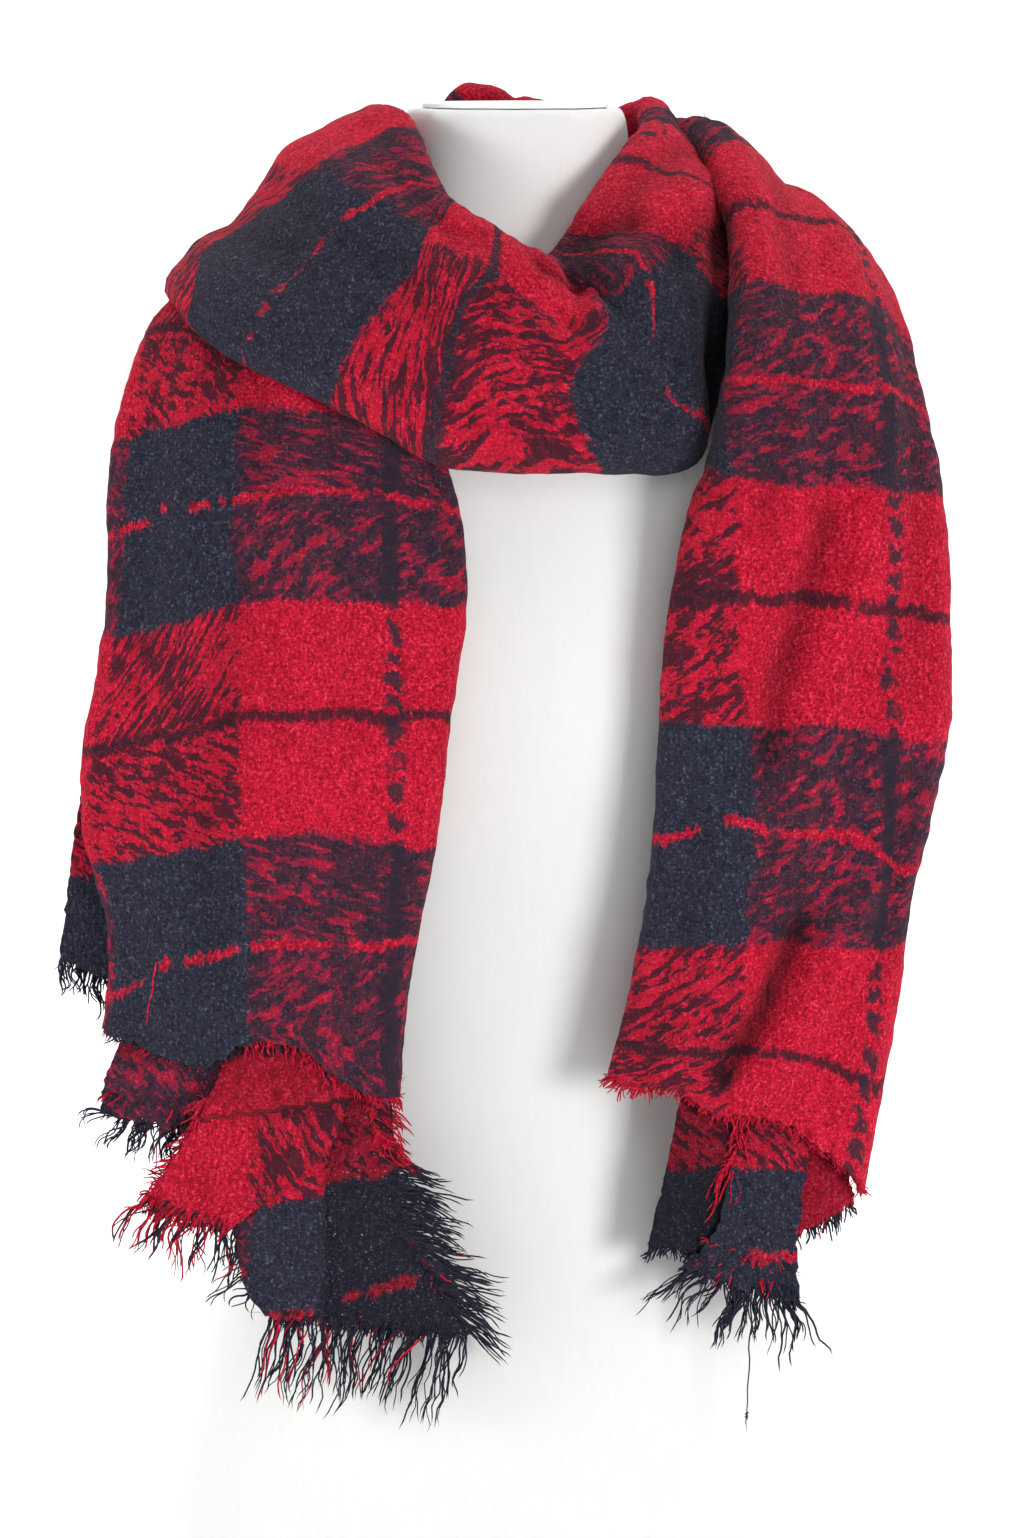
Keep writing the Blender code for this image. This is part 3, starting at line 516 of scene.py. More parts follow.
# %% Fine grid over the folded band
row_places = np.linspace(0, places[-1], int(places[-1] / STEP) + 1)
row_numbers = np.interp(row_places, places, np.arange(LAST_ROW + 1))
stretch_of_row = np.array([stretch_names[min(int(row + 1e-6), LAST_ROW)] for row in row_numbers])
grid = np.zeros((len(row_places), COLUMNS, 3))
normals = np.zeros_like(grid)
across_mm = np.zeros(grid.shape[:2])
positions = np.zeros(grid.shape[:2])
for number, (place, row) in enumerate(zip(row_places, row_numbers)):
    outer, inner, outward, loft, bow = section_at(place)
    width = np.linalg.norm(inner - outer)
    across = (inner - outer) / width
    loop = loop_offsets(width / 2, loft / 2)
    steps = np.linalg.norm(np.diff(loop[:, :2], axis=0), axis=1)
    round_loop = np.concatenate(([0.0], np.cumsum(steps)))
    across_mm[number] = round_loop - round_loop[-1] / 2
    positions[number] = 0.5 + across_mm[number] / width
    for column, (aside, out, normal_across, normal_out) in enumerate(loop):
        share = aside / (width / 2)
        position = (share + 1) / 2
        if out > 0:
            out += (folds_at(FOLDS, row, position, width) * hem_share(place, 0.3)
                    * min(1, 2 * out / loft))
        point = (outer + inner) / 2 + across * aside + outward * (bow * (1 - share ** 2) + out)
        point[2] += hem_lift(place, position)
        grid[number, column] = point + pushed(row, position)
        normals[number, column] = across * normal_across + outward * normal_out
print("grid of the band:", grid.shape[0], "by", grid.shape[1])

# %% Helpers that read a solid and smooth a field
surfaces = {}


def surface_of(node):
    """Search tree over a CAD node, kept for later."""
    if node not in surfaces:
        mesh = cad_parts[node].data
        surfaces[node] = BVHTree.FromPolygons([v.co.copy() for v in mesh.vertices],
                                              [tuple(p.vertices) for p in mesh.polygons])
    return surfaces[node]


def blurred(values, axis):
    """Each value mixed with its two neighbours along one axis."""
    padded = np.pad(values, [(1, 1) if a == axis else (0, 0) for a in (0, 1)], "edge")
    count = values.shape[axis]
    before = np.take(padded, range(count), axis)
    after = np.take(padded, range(2, count + 2), axis)
    return (before + 2 * values + after) / 4


def smoothed(field, rounds):
    """Smooth a field over the grid, filling its holes from their neighbours."""
    known = ~np.isnan(field)
    total, weight = np.where(known, field, 0.0), known.astype(float)
    for _ in range(rounds):
        for axis in (0, 1):
            total, weight = blurred(total, axis), blurred(weight, axis)
    return total / np.maximum(weight, 1e-6)


print("helpers for the solids ready")

# %% Set the grid on the solids
REACH = 30.0        # how far from a point its solid is looked for, in millimetres
FARTHEST = 14.0     # a point that would move further than this has found a wrong face
SMOOTHING = 14      # rounds
moved = np.full(grid.shape[:2], np.nan)
for number in range(grid.shape[0]):
    surface = surface_of(stretch_of_row[number])
    for column in range(COLUMNS):
        start = grid[number, column] + normals[number, column] * REACH
        hit = surface.ray_cast(Vector(start * MM), Vector(-normals[number, column]),
                               2 * REACH * MM)
        if hit[0] is not None:
            moved[number, column] = REACH - hit[3] / MM
print("points that found their solid:", round(float(np.mean(~np.isnan(moved))), 3),
      "median distance, mm:", round(float(np.nanmedian(moved)), 2))
moved[np.abs(moved - np.nanmedian(moved)) > FARTHEST] = np.nan
grid += normals * smoothed(moved, SMOOTHING)[..., None]

# %% Creases, lumps and painted shade
# size across the cloth, size along it, shift of the noise, height, in millimetres
LUMPS = ((38, 55, 0, 1.2), (15, 19, 7, 0.9), (7.5, 7.5, 19, 0.8))
DARKEST_CREASE = 6.5  # a trough of this depth is painted in full shade


def grid_normals(points):
    """Unit normals of a grid of points."""
    found = np.cross(np.gradient(points, axis=0), np.gradient(points, axis=1))
    return found / np.maximum(np.linalg.norm(found, axis=2), 1e-9)[..., None]


def lumps_at(across, along, seed):
    """Uneven surface of brushed wool at a spot of the cloth, in millimetres."""
    return sum(height * noise.noise(Vector((across / wide, along / long, seed + shift)))
               for wide, long, shift, height in LUMPS)


facing = grid_normals(grid)
faces_in = np.mean(np.sum(facing * normals, axis=2)) < 0
if faces_in:
    facing = -facing
# painted shade: how much each point is darkened for the little light in troughs and between rolls
hollows = np.zeros(grid.shape[:2])
for number, (place, row) in enumerate(zip(row_places, row_numbers)):
    width = np.linalg.norm(grid[number, BACK + ARC] - grid[number, BACK + ARC + FACE - 1])
    for column in range(COLUMNS):
        position = positions[number, column]
        height = lumps_at(across_mm[number, column], place, 3.0)
        if -0.3 < position < 1.3:
            crease = creases_at(CREASES, row, position, width)
            shade = max(-crease / DARKEST_CREASE, creases_at(SHADED, row, position, width))
            hollows[number, column] = min(max(shade, 0.0), 1.0)
            height += crease * hem_share(place, 0.4)
        grid[number, column] += facing[number, column] * height
print("share of the band in shade:", round(float(np.mean(hollows > 0.1)), 3))

# %% [markdown]
# ## The plaid
#
# A plaid needs two numbers at every point: how far along the cloth it lies and how far across.
# Both repeat every 232 millimetres: a navy stripe 112 wide with a thin red line in its middle,
# then a red stripe with a thin navy line. An unfolded flat pattern could be painted, but the
# cloth is bunched where it is wound. So the chart says where each line lies on the folded band,
# and the length between two lines is shared out.

# %% Plaid chart of the band
PERIOD, NAVY_WIDTH, RED_LINE, NAVY_LINE = 232.0, 112.0, 56.0, 172.0
# length along the cloth, then where that line lies: (position across, row), ...
WEFT_LINES = (
    (56, ((-0.01, 0.52), (0.06, 0.81), (0.22, 1.40), (0.45, 1.67), (0.72, 1.82), (0.97, 1.95))),
    (112, ((0.12, 2.69), (0.46, 3.09), (0.73, 3.21), (1.0, 3.05))),
    (172, ((0.03, 4.00), (0.22, 4.26), (0.46, 4.54), (0.72, 4.63), (1.0, 4.62))),
    (232, ((0.02, 5.42), (0.23, 5.62), (0.38, 5.90), (0.65, 6.00), (0.85, 5.99), (0.98, 5.96))),
    (288, ((0.02, 6.69), (0.16, 7.03), (0.33, 7.17), (0.58, 7.37), (0.81, 7.29), (1.0, 7.13))),
    (344, ((0.05, 8.07), (0.23, 8.19), (0.42, 8.38), (0.71, 8.35))),
    (590, ((0.0, 15.3), (1.0, 15.3))),
    (696, ((0.0, 19.7), (1.0, 19.9))),
    (808, ((0.0, 20.6), (1.0, 20.9))),
    (868, ((0.0, 21.7), (0.5, 21.9), (0.75, 22.3), (1.1, 22.4))),
    (928, ((0.19, 23.10), (0.42, 23.08), (0.75, 23.56), (0.95, 24.06))),
    (984, ((0.14, 24.74), (0.27, 25.20), (0.41, 24.45), (0.47, 23.93), (0.61, 23.66),
           (0.80, 24.05), (0.95, 24.45))),
    (1040, ((-0.02, 26.51), (0.07, 26.61), (0.17, 26.69), (0.29, 26.62), (0.42, 26.29),
            (0.57, 25.61), (0.75, 25.05), (0.95, 25.05))),
    (1100, ((0.04, 28.99), (0.15, 28.93), (0.31, 28.69), (0.46, 28.48), (0.59, 28.12),
            (0.74, 27.57), (0.9, 27.2), (1.05, 27.0))),
    (1160, ((0.05, 30.32), (0.17, 30.23), (0.35, 30.00), (0.56, 29.63), (0.78, 29.35),
            (0.9, 28.8), (1.05, 28.4))),
    (1216, ((0.08, 31.34), (0.16, 31.38), (0.35, 31.24), (0.54, 31.02), (0.69, 30.57),
            (0.86, 30.15), (0.95, 29.5), (1.1, 29.2))),
    (1272, ((0.06, 32.37), (0.14, 32.67), (0.24, 32.93), (0.37, 32.78), (0.48, 32.35),
            (0.61, 31.98), (0.70, 31.82), (0.85, 31.72), (0.97, 31.26))),
    (1736, ((0.0, 42.3), (0.72, 42.75), (1.0, 43.4))),
    (1796, ((0.2, 43.35), (0.5, 43.8), (0.81, 44.22), (1.1, 44.35))),
    (1856, ((0.25, 44.55), (0.72, 45.02), (0.99, 45.22))),
    (1912, ((0.17, 45.51), (0.73, 46.01), (1.0, 46.2))),
    (1968, ((0.11, 46.56), (0.67, 47.13), (1.0, 47.3))),
    (2028, ((0.10, 48.14), (0.61, 48.41), (1.02, 48.71))),
    (2088, ((0.07, 49.95), (0.37, 49.77), (0.77, 49.81), (1.0, 49.89))),
    (2144, ((0.06, 51.53), (0.31, 51.10), (0.81, 50.87), (1.0, 51.10))),
    (2200, ((0.11, 52.39), (0.67, 52.24), (0.99, 52.32))),
    (2260, ((0.05, 53.85), (0.51, 53.73), (0.91, 54.01))),
)
# widths across the cloth of three lines along it, then rows and where the three lie across
WARP_LINES = (
    ((0, 112, 172), (
        (0.0, 0.03, 0.49, 0.99), (2.9, 0.03, 0.48, 0.93), (4.1, 0.03, 0.45, 0.89),
        (5.4, 0.04, 0.39, 0.84), (6.6, 0.05, 0.37, 0.82), (7.9, 0.06, 0.39, 0.86),
        (11.0, 0.02, 0.45, 0.90), (21.5, -0.45, 0.20, 0.95), (23.2, -0.40, 0.42, 1.22),
        (24.9, -0.40, 0.68, 1.50), (26.4, -0.45, 0.55, 1.40), (27.8, -0.35, 0.77, 1.60),
        (30.0, -0.35, 0.72, 1.55), (32.5, -0.45, 0.60, 1.50),
    )),
    ((60, 112, 172), ((35.0, -0.35, 0.40, 1.10),)),
    ((90, 150, 232), ((39.0, -0.30, 0.40, 1.30),)),
    ((112, 172, 232), (
        (42.5, -0.30, 0.30, 1.20), (45.1, -0.30, 0.34, 0.99), (46.4, -0.30, 0.31, 1.04),
        (47.5, -0.30, 0.28, 0.90), (49.5, -0.30, 0.24, 0.77), (50.6, -0.34, 0.19, 0.70),
        (51.8, -0.38, 0.13, 0.66), (54.3, -0.45, 0.08, 0.58),
    )),
)
# the lean of the dark dashes in radians, before and behind their thin line
LEANS = {"left_tail": (0.42, 0.85), "neck_inner": (0.42, 0.85), "cowl": (1.0, 0.36),
         "neck_outer": (1.0, 0.36), "right_tail": (-0.80, 0.80)}
print("lines across the cloth:", len(WEFT_LINES))

# %% Read the chart
HEM_TURN = 5.0      # below this length the plaid turns back, so that the hem stays navy
weft_lengths = [length for length, _ in WEFT_LINES]
warp_rows, warp_lines = zip(*((row, tuple(zip(across, widths)))
                              for widths, rows in WARP_LINES for row, *across in rows))


def line_through(pairs, where):
    """Value at where on a line through pairs, which goes on straight beyond its ends."""
    xs, ys = zip(*pairs)
    if where < xs[0]:
        return ys[0] + (where - xs[0]) * (ys[1] - ys[0]) / (xs[1] - xs[0])
    if where > xs[-1]:
        return ys[-1] + (where - xs[-1]) * (ys[-1] - ys[-2]) / (xs[-1] - xs[-2])
    return float(np.interp(where, xs, ys))


def weft_places(position):
    """Places along the band of every line of WEFT_LINES, at one position across."""
    rows = [float(np.interp(position, *zip(*pairs))) for _, pairs in WEFT_LINES]
    return [float(np.interp(row, np.arange(LAST_ROW + 1), places)) for row in rows]


def length_at(place, lines):
    """Length along the cloth at a place on the band, between the places of the lines."""
    if place < lines[0]:
        length = weft_lengths[0] + place - lines[0]
        return max(length, 2 * HEM_TURN - length)
    if place > lines[-1]:
        return weft_lengths[-1] + place - lines[-1]
    return np.interp(place, lines, weft_lengths)


def width_at(row, position):
    """Width across the cloth at a row and a position, between two rows of WARP_LINES."""
    after = int(np.clip(np.searchsorted(warp_rows, row), 1, len(warp_rows) - 1))
    share = (row - warp_rows[after - 1]) / (warp_rows[after] - warp_rows[after - 1])
    share = min(max(share, 0), 1)
    return (line_through(warp_lines[after - 1], position) * (1 - share)
            + line_through(warp_lines[after], position) * share)


cloth = np.zeros(grid.shape[:2] + (2,))
for column in range(COLUMNS):
    for number, place in enumerate(row_places):
        position = positions[number, column]
        if number % 8 == 0:  # positions change slowly, so every eighth row will do
            lines = weft_places(min(max(position, -0.05), 1.1))
        cloth[number, column] = width_at(row_numbers[number], position), length_at(place, lines)
print("plaid charted, cloth length, metres:", round(float(np.ptp(cloth[..., 1])) * MM, 2))

# %% Lean of the dashes, and the rib of the front roll
RIB_ROWS = (26.4, 30.4)         # here the thin navy line is whole and dark
BROKEN_ROWS = (30.4, 34.5)      # here the thin red line is more broken
from_line = (cloth[..., 1] - NAVY_LINE + PERIOD / 2) % PERIOD - PERIOD / 2
leans = np.array([LEANS[stretch] for stretch in stretch_of_row])
lean_grid = np.where(from_line > 0, leans[:, 1:], leans[:, :1])
rib_rows = np.clip(np.minimum(row_numbers - RIB_ROWS[0], RIB_ROWS[1] - row_numbers), 0, 1)
rib_rows -= np.clip(
    np.minimum(row_numbers - BROKEN_ROWS[0], BROKEN_ROWS[1] - row_numbers) * 2, 0, 1)
rib_grid = np.broadcast_to(rib_rows[:, None], grid.shape[:2])
print("rows of the grid with a rib:", int(np.sum(rib_rows > 0)))

# %% [markdown]
# ## The five stretches of the band
#
# Each stretch of the wound cloth is a sheet of its own: the left hanging end, the pass round
# the back of the neck, the front roll, the second pass and the right hanging end. Solidify
# gives the thick brushed wool its wall, on the inner side, so the outer face stays on its solid.

# %% A sheet of cloth from a grid
def cloth_piece(name, points, widths, lengths, wall, **numbers):
    """A grid of points in millimetres as a cloth with its numbers and a wall."""
    rows, columns = points.shape[:2]
    first = (np.arange(rows - 1)[:, None] * columns + np.arange(columns - 1)).ravel()
    faces = np.stack((first, first + 1, first + columns + 1, first + columns), axis=1)
    piece = new_piece(name, (points.reshape(-1, 3) * MM).tolist(), faces.tolist())
    put_numbers(piece, across=widths * MM, along=lengths * MM, **numbers)
    solid = piece.modifiers.new("wall", "SOLIDIFY")
    solid.thickness = wall * MM
    solid.offset = -1.0
    apply_all(piece)
    return piece


print("sheets ready to be cut")

# %% Torn hems
HEM_SEEDS = (5.0, 9.0)      # of the noise that tears the left and the right hem
TORN_ROWS, TORN = 3, 3.2    # rows of the grid that are torn, and how far, in millimetres
CORNER_LENGTH, CORNER = 45.0, 11.0  # the inner corner of the left hem is drawn to the left
for row in range(TORN_ROWS):
    for seed, number in zip(HEM_SEEDS, (row, len(row_places) - 1 - row)):
        for column in range(COLUMNS):
            torn = noise.noise(Vector((column / 2.3, seed, 0)))
            torn += 0.7 * noise.noise(Vector((column / 0.9, seed, 5)))
            grid[number, column, 2] += TORN * torn * (1 - row / TORN_ROWS)
for number, place in enumerate(row_places[row_places < CORNER_LENGTH]):
    corner = np.clip((positions[number] - 0.6) / 0.4, 0, 1)
    grid[number, :, 0] -= CORNER * corner * (1 - place / CORNER_LENGTH) ** 1.5
print("hems torn")

# %% Build the stretches
BAND_WALL = 2.2     # one layer of brushed wool, in millimetres
order = slice(None, None, -1) if faces_in else slice(None)  # turned round, faces point out
stretches = {}
for stretch in PATH:
    rows = np.flatnonzero(stretch_of_row == stretch)
    part = slice(rows[0], rows[-1] + 2), order
    stretches[stretch] = cloth_piece(
        "wool_" + stretch, grid[part], cloth[..., 0][part], cloth[..., 1][part], BAND_WALL,
        seed=1.0, open=0.0, lean=lean_grid[part], rib=rib_grid[part], hollow=hollows[part])
    piece = stretches[stretch]
    area = sum(face.area for face in piece.data.polygons) / 2
    print(piece.name, len(piece.data.polygons), "faces,", round(area, 4), "square metres")

# %% [markdown]
# ## The wool
#
# One material weaves the plaid from the two cloth numbers. Where a navy stripe crosses a navy
# stripe the cloth is solid navy, and red on red is solid red. Where navy threads run along the
# cloth over red ones, dark dashes fan out from the thin line like the veins of a leaf; where
# navy threads run across, soft red flecks show through the dark ground. Every edge is ragged,
# because the wool is brushed. A painted picture would blur up close, while noise that follows
# the cloth stays sharp at any size.

# %% Colours of the yarns
RED_WOOL = (0.465, 0.006, 0.028, 1)
RED_SECOND = (0.385, 0.0045, 0.023, 1)
RED_DEEP = (0.18, 0.002, 0.010, 1)
RED_PALE = (0.84, 0.050, 0.100, 1)
RED_UNDER_DASHES = (0.36, 0.009, 0.028, 1)
RED_FLECK = (0.235, 0.010, 0.036, 1)
NAVY_WOOL = (0.020, 0.021, 0.036, 1)
NAVY_DEEP = (0.006, 0.006, 0.012, 1)
NAVY_PALE = (0.115, 0.120, 0.165, 1)
BLACK_WOOL = (0.022, 0.008, 0.015, 1)
BROWN_WOOL = (0.060, 0.009, 0.019, 1)
HAZE_DARK = (0.020, 0.012, 0.022, 1)
HAZE_RED = (0.070, 0.014, 0.028, 1)
# painted shade and painted specks of the lit form, seen through an open weave
SHADE_SEEN_THROUGH_WEAVE = (0.004, 0.003, 0.006, 1)
LIT_FORM_THROUGH_WEAVE = (0.50, 0.48, 0.50, 1)
DEEP_SHADE = (0.004, 0.002, 0.003, 1)
print("red and navy yarn:", RED_WOOL[:3], NAVY_WOOL[:3])


# %% Noise and stripes that follow the cloth
class Wool(Nodes):
    """Nodes that read the numbers of the cloth and lay noise and stripes along it."""

    def __init__(self, name):
        super().__init__(name)
        self.across, self.along, self.seed = map(self.number, ("across", "along", "seed"))
        self.body = self.add("TexCoord").outputs["Object"]
        self.curls = self.grain(self.body, 640, 2.0, 0.7)
        self.soft = self.grain(self.body, 230, 3.0, 0.6)
        fine = self.grain(self.body, 1150, 1.0, 0.6)
        twill = self.cells(620, 130, 41.0, 1.0)
        self.nap = self.plus(self.times(self.curls, 0.62),
                             self.plus(self.times(fine, 0.22), self.times(twill, 0.16)))

    def number(self, label):
        """One of the numbers that the points of the cloth carry."""
        return self.add("Attribute", {"attribute_name": "cloth_" + label}).outputs["Fac"]

    def cells(self, x_scale, y_scale, layer, detail=2.0, rough=0.6, x=None, y=None):
        """Noise with its own number of cells a metre across and along the cloth."""
        place = self.add("CombineXYZ", X=self.times(self.across if x is None else x, x_scale),
                         Y=self.times(self.along if y is None else y, y_scale),
                         Z=self.plus(self.seed, layer))
        return self.grain(place, 1.0, detail, rough)

    def shifted(self, value, *shakes):
        """A value that wanders: pairs of a noise and how much it moves the value."""
        for noisy, distance in shakes:
            value = self.plus(value, self.times(self.minus(noisy, 0.5), distance))
        return value

    def repeated(self, value, start, period=PERIOD):
        """A cloth number counted from a start, in millimetres, anew in every repeat."""
        return self.math("FLOORED_MODULO", self.minus(value, start * MM), period * MM)

    def within(self, value, start, width, soft):
        """1 inside a repeating stripe, with sizes in millimetres."""
        lead = 20.0  # the count starts this far before the stripe, so its edge is whole
        turn = self.repeated(value, start - lead)
        rise, fall = (self.step(turn, (lead + edge - soft) * MM, (lead + edge + soft) * MM)
                      for edge in (0.0, width))
        return self.minus(rise, fall, clamp=True)


print("wool noise ready")


# %% Broad stripes
def broad_stripes(wool):
    """The navy stripes along and across the cloth, and the ragged length they are laid by."""
    length = wool.shifted(wool.along, (wool.cells(38, 19, 0.0, 3.0), 0.016),
                          (wool.cells(420, 90, 9.0), 0.011))
    width = wool.shifted(wool.across, (wool.cells(15, 30, 4.0, 3.0), 0.014),
                         (wool.cells(85, 390, 12.0), 0.010))
    return (wool.within(width, 0.0, NAVY_WIDTH, 1.8),
            wool.within(length, 0.0, NAVY_WIDTH, 1.8), length)


print("stripes ready")


# %% Dark dashes and red flecks
def leaning_places(wool):
    """Places along and over the leaning dashes, and the distance from their thin line."""
    turn = wool.repeated(wool.along, NAVY_LINE - PERIOD / 2)
    aside = wool.math("ABSOLUTE", wool.minus(turn, PERIOD / 2 * MM))
    lean = wool.number("lean")
    cosine, sine = wool.math("COSINE", lean), wool.math("SINE", lean)
    on = wool.plus(wool.times(wool.across, cosine), wool.times(aside, sine))
    over = wool.minus(wool.times(aside, cosine), wool.times(wool.across, sine))
    over = wool.shifted(over, (wool.cells(20, 20, 2.0, 1.0), 0.010),
                        (wool.cells(190, 190, 2.5), 0.0028))
    return on, over, aside


def dark_dashes(wool, on, over, aside):
    """Dashes that run away from the thin line: long streaks broken into beads."""
    streaks = wool.cells(58, 255, 3.0, 2.0, 0.55, on, over)
    beads = wool.cells(190, 330, 5.0, 3.0, 0.72, on, over)
    clusters = wool.cells(26, 34, 8.0, 1.0)
    near = wool.step(aside, 0.034, 0.0)
    return wool.step(wool.shifted(streaks, (beads, 0.80), (clusters, 0.36), (near, 0.04),
                                  (wool.curls, 0.20)), 0.468, 0.512)


def red_flecks(wool, on, over):
    """Small slanting spots, dense here and thin there, and the bright hearts of them."""
    spots = wool.shifted(wool.cells(90, 230, 22.0, 3.0, 0.62, on, over),
                         (wool.cells(34, 52, 21.0, 2.0), 0.42),
                         (wool.cells(420, 420, 23.0), 0.20), (wool.curls, 0.14))
    return wool.step(spots, 0.52, 0.575), wool.step(spots, 0.58, 0.66)


print("dashes and flecks ready")


# %% Thin lines
def lines_across(wool, length, navy_along):
    """The thin red and navy lines across the cloth, more broken on a solid navy square."""
    rib = wool.number("rib")
    breaks = wool.plus(wool.cells(70, 30, 31.0),
                       wool.times(wool.math("MINIMUM", rib, 0.0), 0.06))
    whole = wool.step(wool.minus(breaks, wool.times(navy_along, 0.15)), 0.30, 0.40)
    ticks = wool.times(wool.step(wool.cells(330, 70, 33.0), 0.24, 0.46),
                       wool.step(breaks, 0.28, 0.38))
    red_line = wool.times(wool.within(length, RED_LINE - 2.4, 4.8, 1.2), whole)
    navy_line = wool.times(wool.within(length, NAVY_LINE - 3.2, 6.4, 1.2),
                           wool.math("MAXIMUM", rib, ticks))
    return red_line, navy_line, rib


def line_along(wool, navy_across):
    """The navy line along the cloth: dashes on red, and whole where it crosses navy."""
    place = wool.shifted(wool.along, (wool.cells(150, 45, 35.0), 0.022),
                         (wool.cells(420, 420, 38.0), 0.008))
    place = wool.repeated(place, 0.0, 13.2)
    dashes = wool.minus(wool.step(place, 0.0002, 0.0018), wool.step(place, 0.0088, 0.0106),
                        clamp=True)
    dashes = wool.times(dashes, wool.step(wool.cells(90, 45, 36.0), 0.34, 0.44))
    width = wool.shifted(wool.across, (wool.cells(30, 40, 4.5, 2.0), 0.010),
                         (wool.cells(260, 260, 37.0), 0.008))
    return wool.times(wool.within(width, NAVY_LINE - 3.0, 6.0, 1.2),
                      wool.math("MAXIMUM", dashes, navy_across))


print("thin lines ready")

# %% [markdown]
# ## Colours of the squares
#
# Seen close, no square of brushed wool has one colour. Pale curled hairs lie over deep gaps,
# patches are rubbed darker, and the loose layers show the ribs of their twill. So each colour
# is a short row of mixes, from the yarn's own colour to its deep and its pale tone.


# %% Plain and mixed squares
def plain_colours(wool, ribs):
    """The red and the navy of the plain squares."""
    patches = wool.step(wool.soft, 0.50, 0.36)
    red = wool.mix(wool.step(wool.cells(75, 26, 43.0, 2.0, 0.55), 0.35, 0.65),
                   RED_WOOL, RED_SECOND)
    red = wool.mix(patches, red, RED_DEEP, 0.22)
    red = wool.mix(wool.math("MAXIMUM", ribs, 0.0), red, RED_DEEP, 0.35)
    red = wool.mix(wool.step(wool.nap, 0.51, 0.38), red, RED_DEEP, 0.95)
    red = wool.mix(wool.step(wool.nap, 0.52, 0.64), red, RED_PALE, 0.65)
    navy = wool.mix(patches, NAVY_WOOL, NAVY_DEEP, 0.4)
    navy = wool.mix(wool.step(wool.nap, 0.50, 0.36), navy, NAVY_DEEP, 0.8)
    navy = wool.mix(wool.step(wool.nap, 0.53, 0.70), navy, NAVY_PALE, 0.85)
    return red, navy


def mixed_colours(wool, red):
    """The square with dashes, the square with flecks, and the colour of the dashes."""
    on, over, aside = leaning_places(wool)
    dark = wool.mix(wool.step(wool.cells(120, 260, 6.0), 0.42, 0.70), BLACK_WOOL, BROWN_WOOL)
    dark = wool.mix(wool.step(wool.nap, 0.56, 0.74), dark, NAVY_PALE, 0.35)
    dashed = wool.mix(dark_dashes(wool, on, over, aside),
                      wool.mix(0.25, red, RED_UNDER_DASHES), dark, 0.92)
    blots, bright = red_flecks(wool, on, over)
    haze = wool.mix(wool.step(wool.soft, 0.35, 0.70), HAZE_DARK, HAZE_RED)
    haze = wool.mix(wool.step(wool.nap, 0.52, 0.70), haze, NAVY_PALE, 0.45)
    return dashed, wool.mix(blots, haze, wool.mix(bright, RED_FLECK, red, 0.8), 0.80), dark


print("colours of the squares ready")


# %% Plaid material
def plaid_wool(name, bump):
    """Brushed wool with the plaid; bump is the strength of its relief."""
    wool = Wool(name)
    slant = wool.plus(wool.shifted(wool.across, (wool.cells(60, 60, 51.0, 1.0), 0.003)),
                      wool.times(wool.along, 0.35))
    ribs = wool.times(wool.math("SINE", wool.times(slant, 1850)), wool.number("twill"))
    red, navy = plain_colours(wool, ribs)
    dashed, flecked, dark = mixed_colours(wool, red)
    navy_along, navy_across, length = broad_stripes(wool)
    ground = wool.mix(navy_along, wool.mix(navy_across, red, flecked),
                      wool.mix(navy_across, dashed, navy))

    red_line, navy_line, rib = lines_across(wool, length, navy_along)
    ground = wool.mix(navy_line, ground,
                      wool.mix(rib, dark, wool.mix(0.4, navy, BLACK_WOOL)), 0.90)
    ground = wool.mix(line_along(wool, navy_across), ground,
                      wool.mix(0.5, NAVY_WOOL, BLACK_WOOL), 0.90)
    ground = wool.mix(red_line, ground, red, 0.90)

    # an open weave is painted with the shade and the specks of lit form seen through its gaps
    opens = wool.number("open")
    ground = wool.mix(opens, ground, wool.mix(0.72, ground, SHADE_SEEN_THROUGH_WEAVE), 0.72)
    lit_form_specks = wool.times(wool.step(wool.grain(wool.body, 900, 1.0), 0.70, 0.78), opens)
    ground = wool.mix(lit_form_specks, ground, LIT_FORM_THROUGH_WEAVE, 0.55)
    # painted shade: the colour is darkened in troughs, between two rolls and under a hem
    ground = wool.mix(wool.number("hollow"), ground, wool.mix(0.85, ground, DEEP_SHADE), 0.85)

    relief = wool.plus(wool.plus(wool.times(wool.soft, 1.3), wool.times(wool.nap, 1.6)),
                       wool.times(ribs, 0.35))
    return wool.surface(
        Base_Color=ground, Roughness=0.95, Specular_IOR_Level=0.10, Sheen_Weight=0.04,
        Sheen_Roughness=0.45, Sheen_Tint=(1.0, 0.60, 0.65, 1),
        Normal=wool.add("Bump", Strength=bump, Distance=0.0014, Height=relief))


wool_material = plaid_wool("brushed_plaid_wool", 1.0)
thread_material = plaid_wool("loose_wool_threads", 0.3)
for piece in stretches.values():
    piece.data.materials.append(wool_material)
print("material:", wool_material.name, len(wool_material.node_tree.nodes), "nodes")
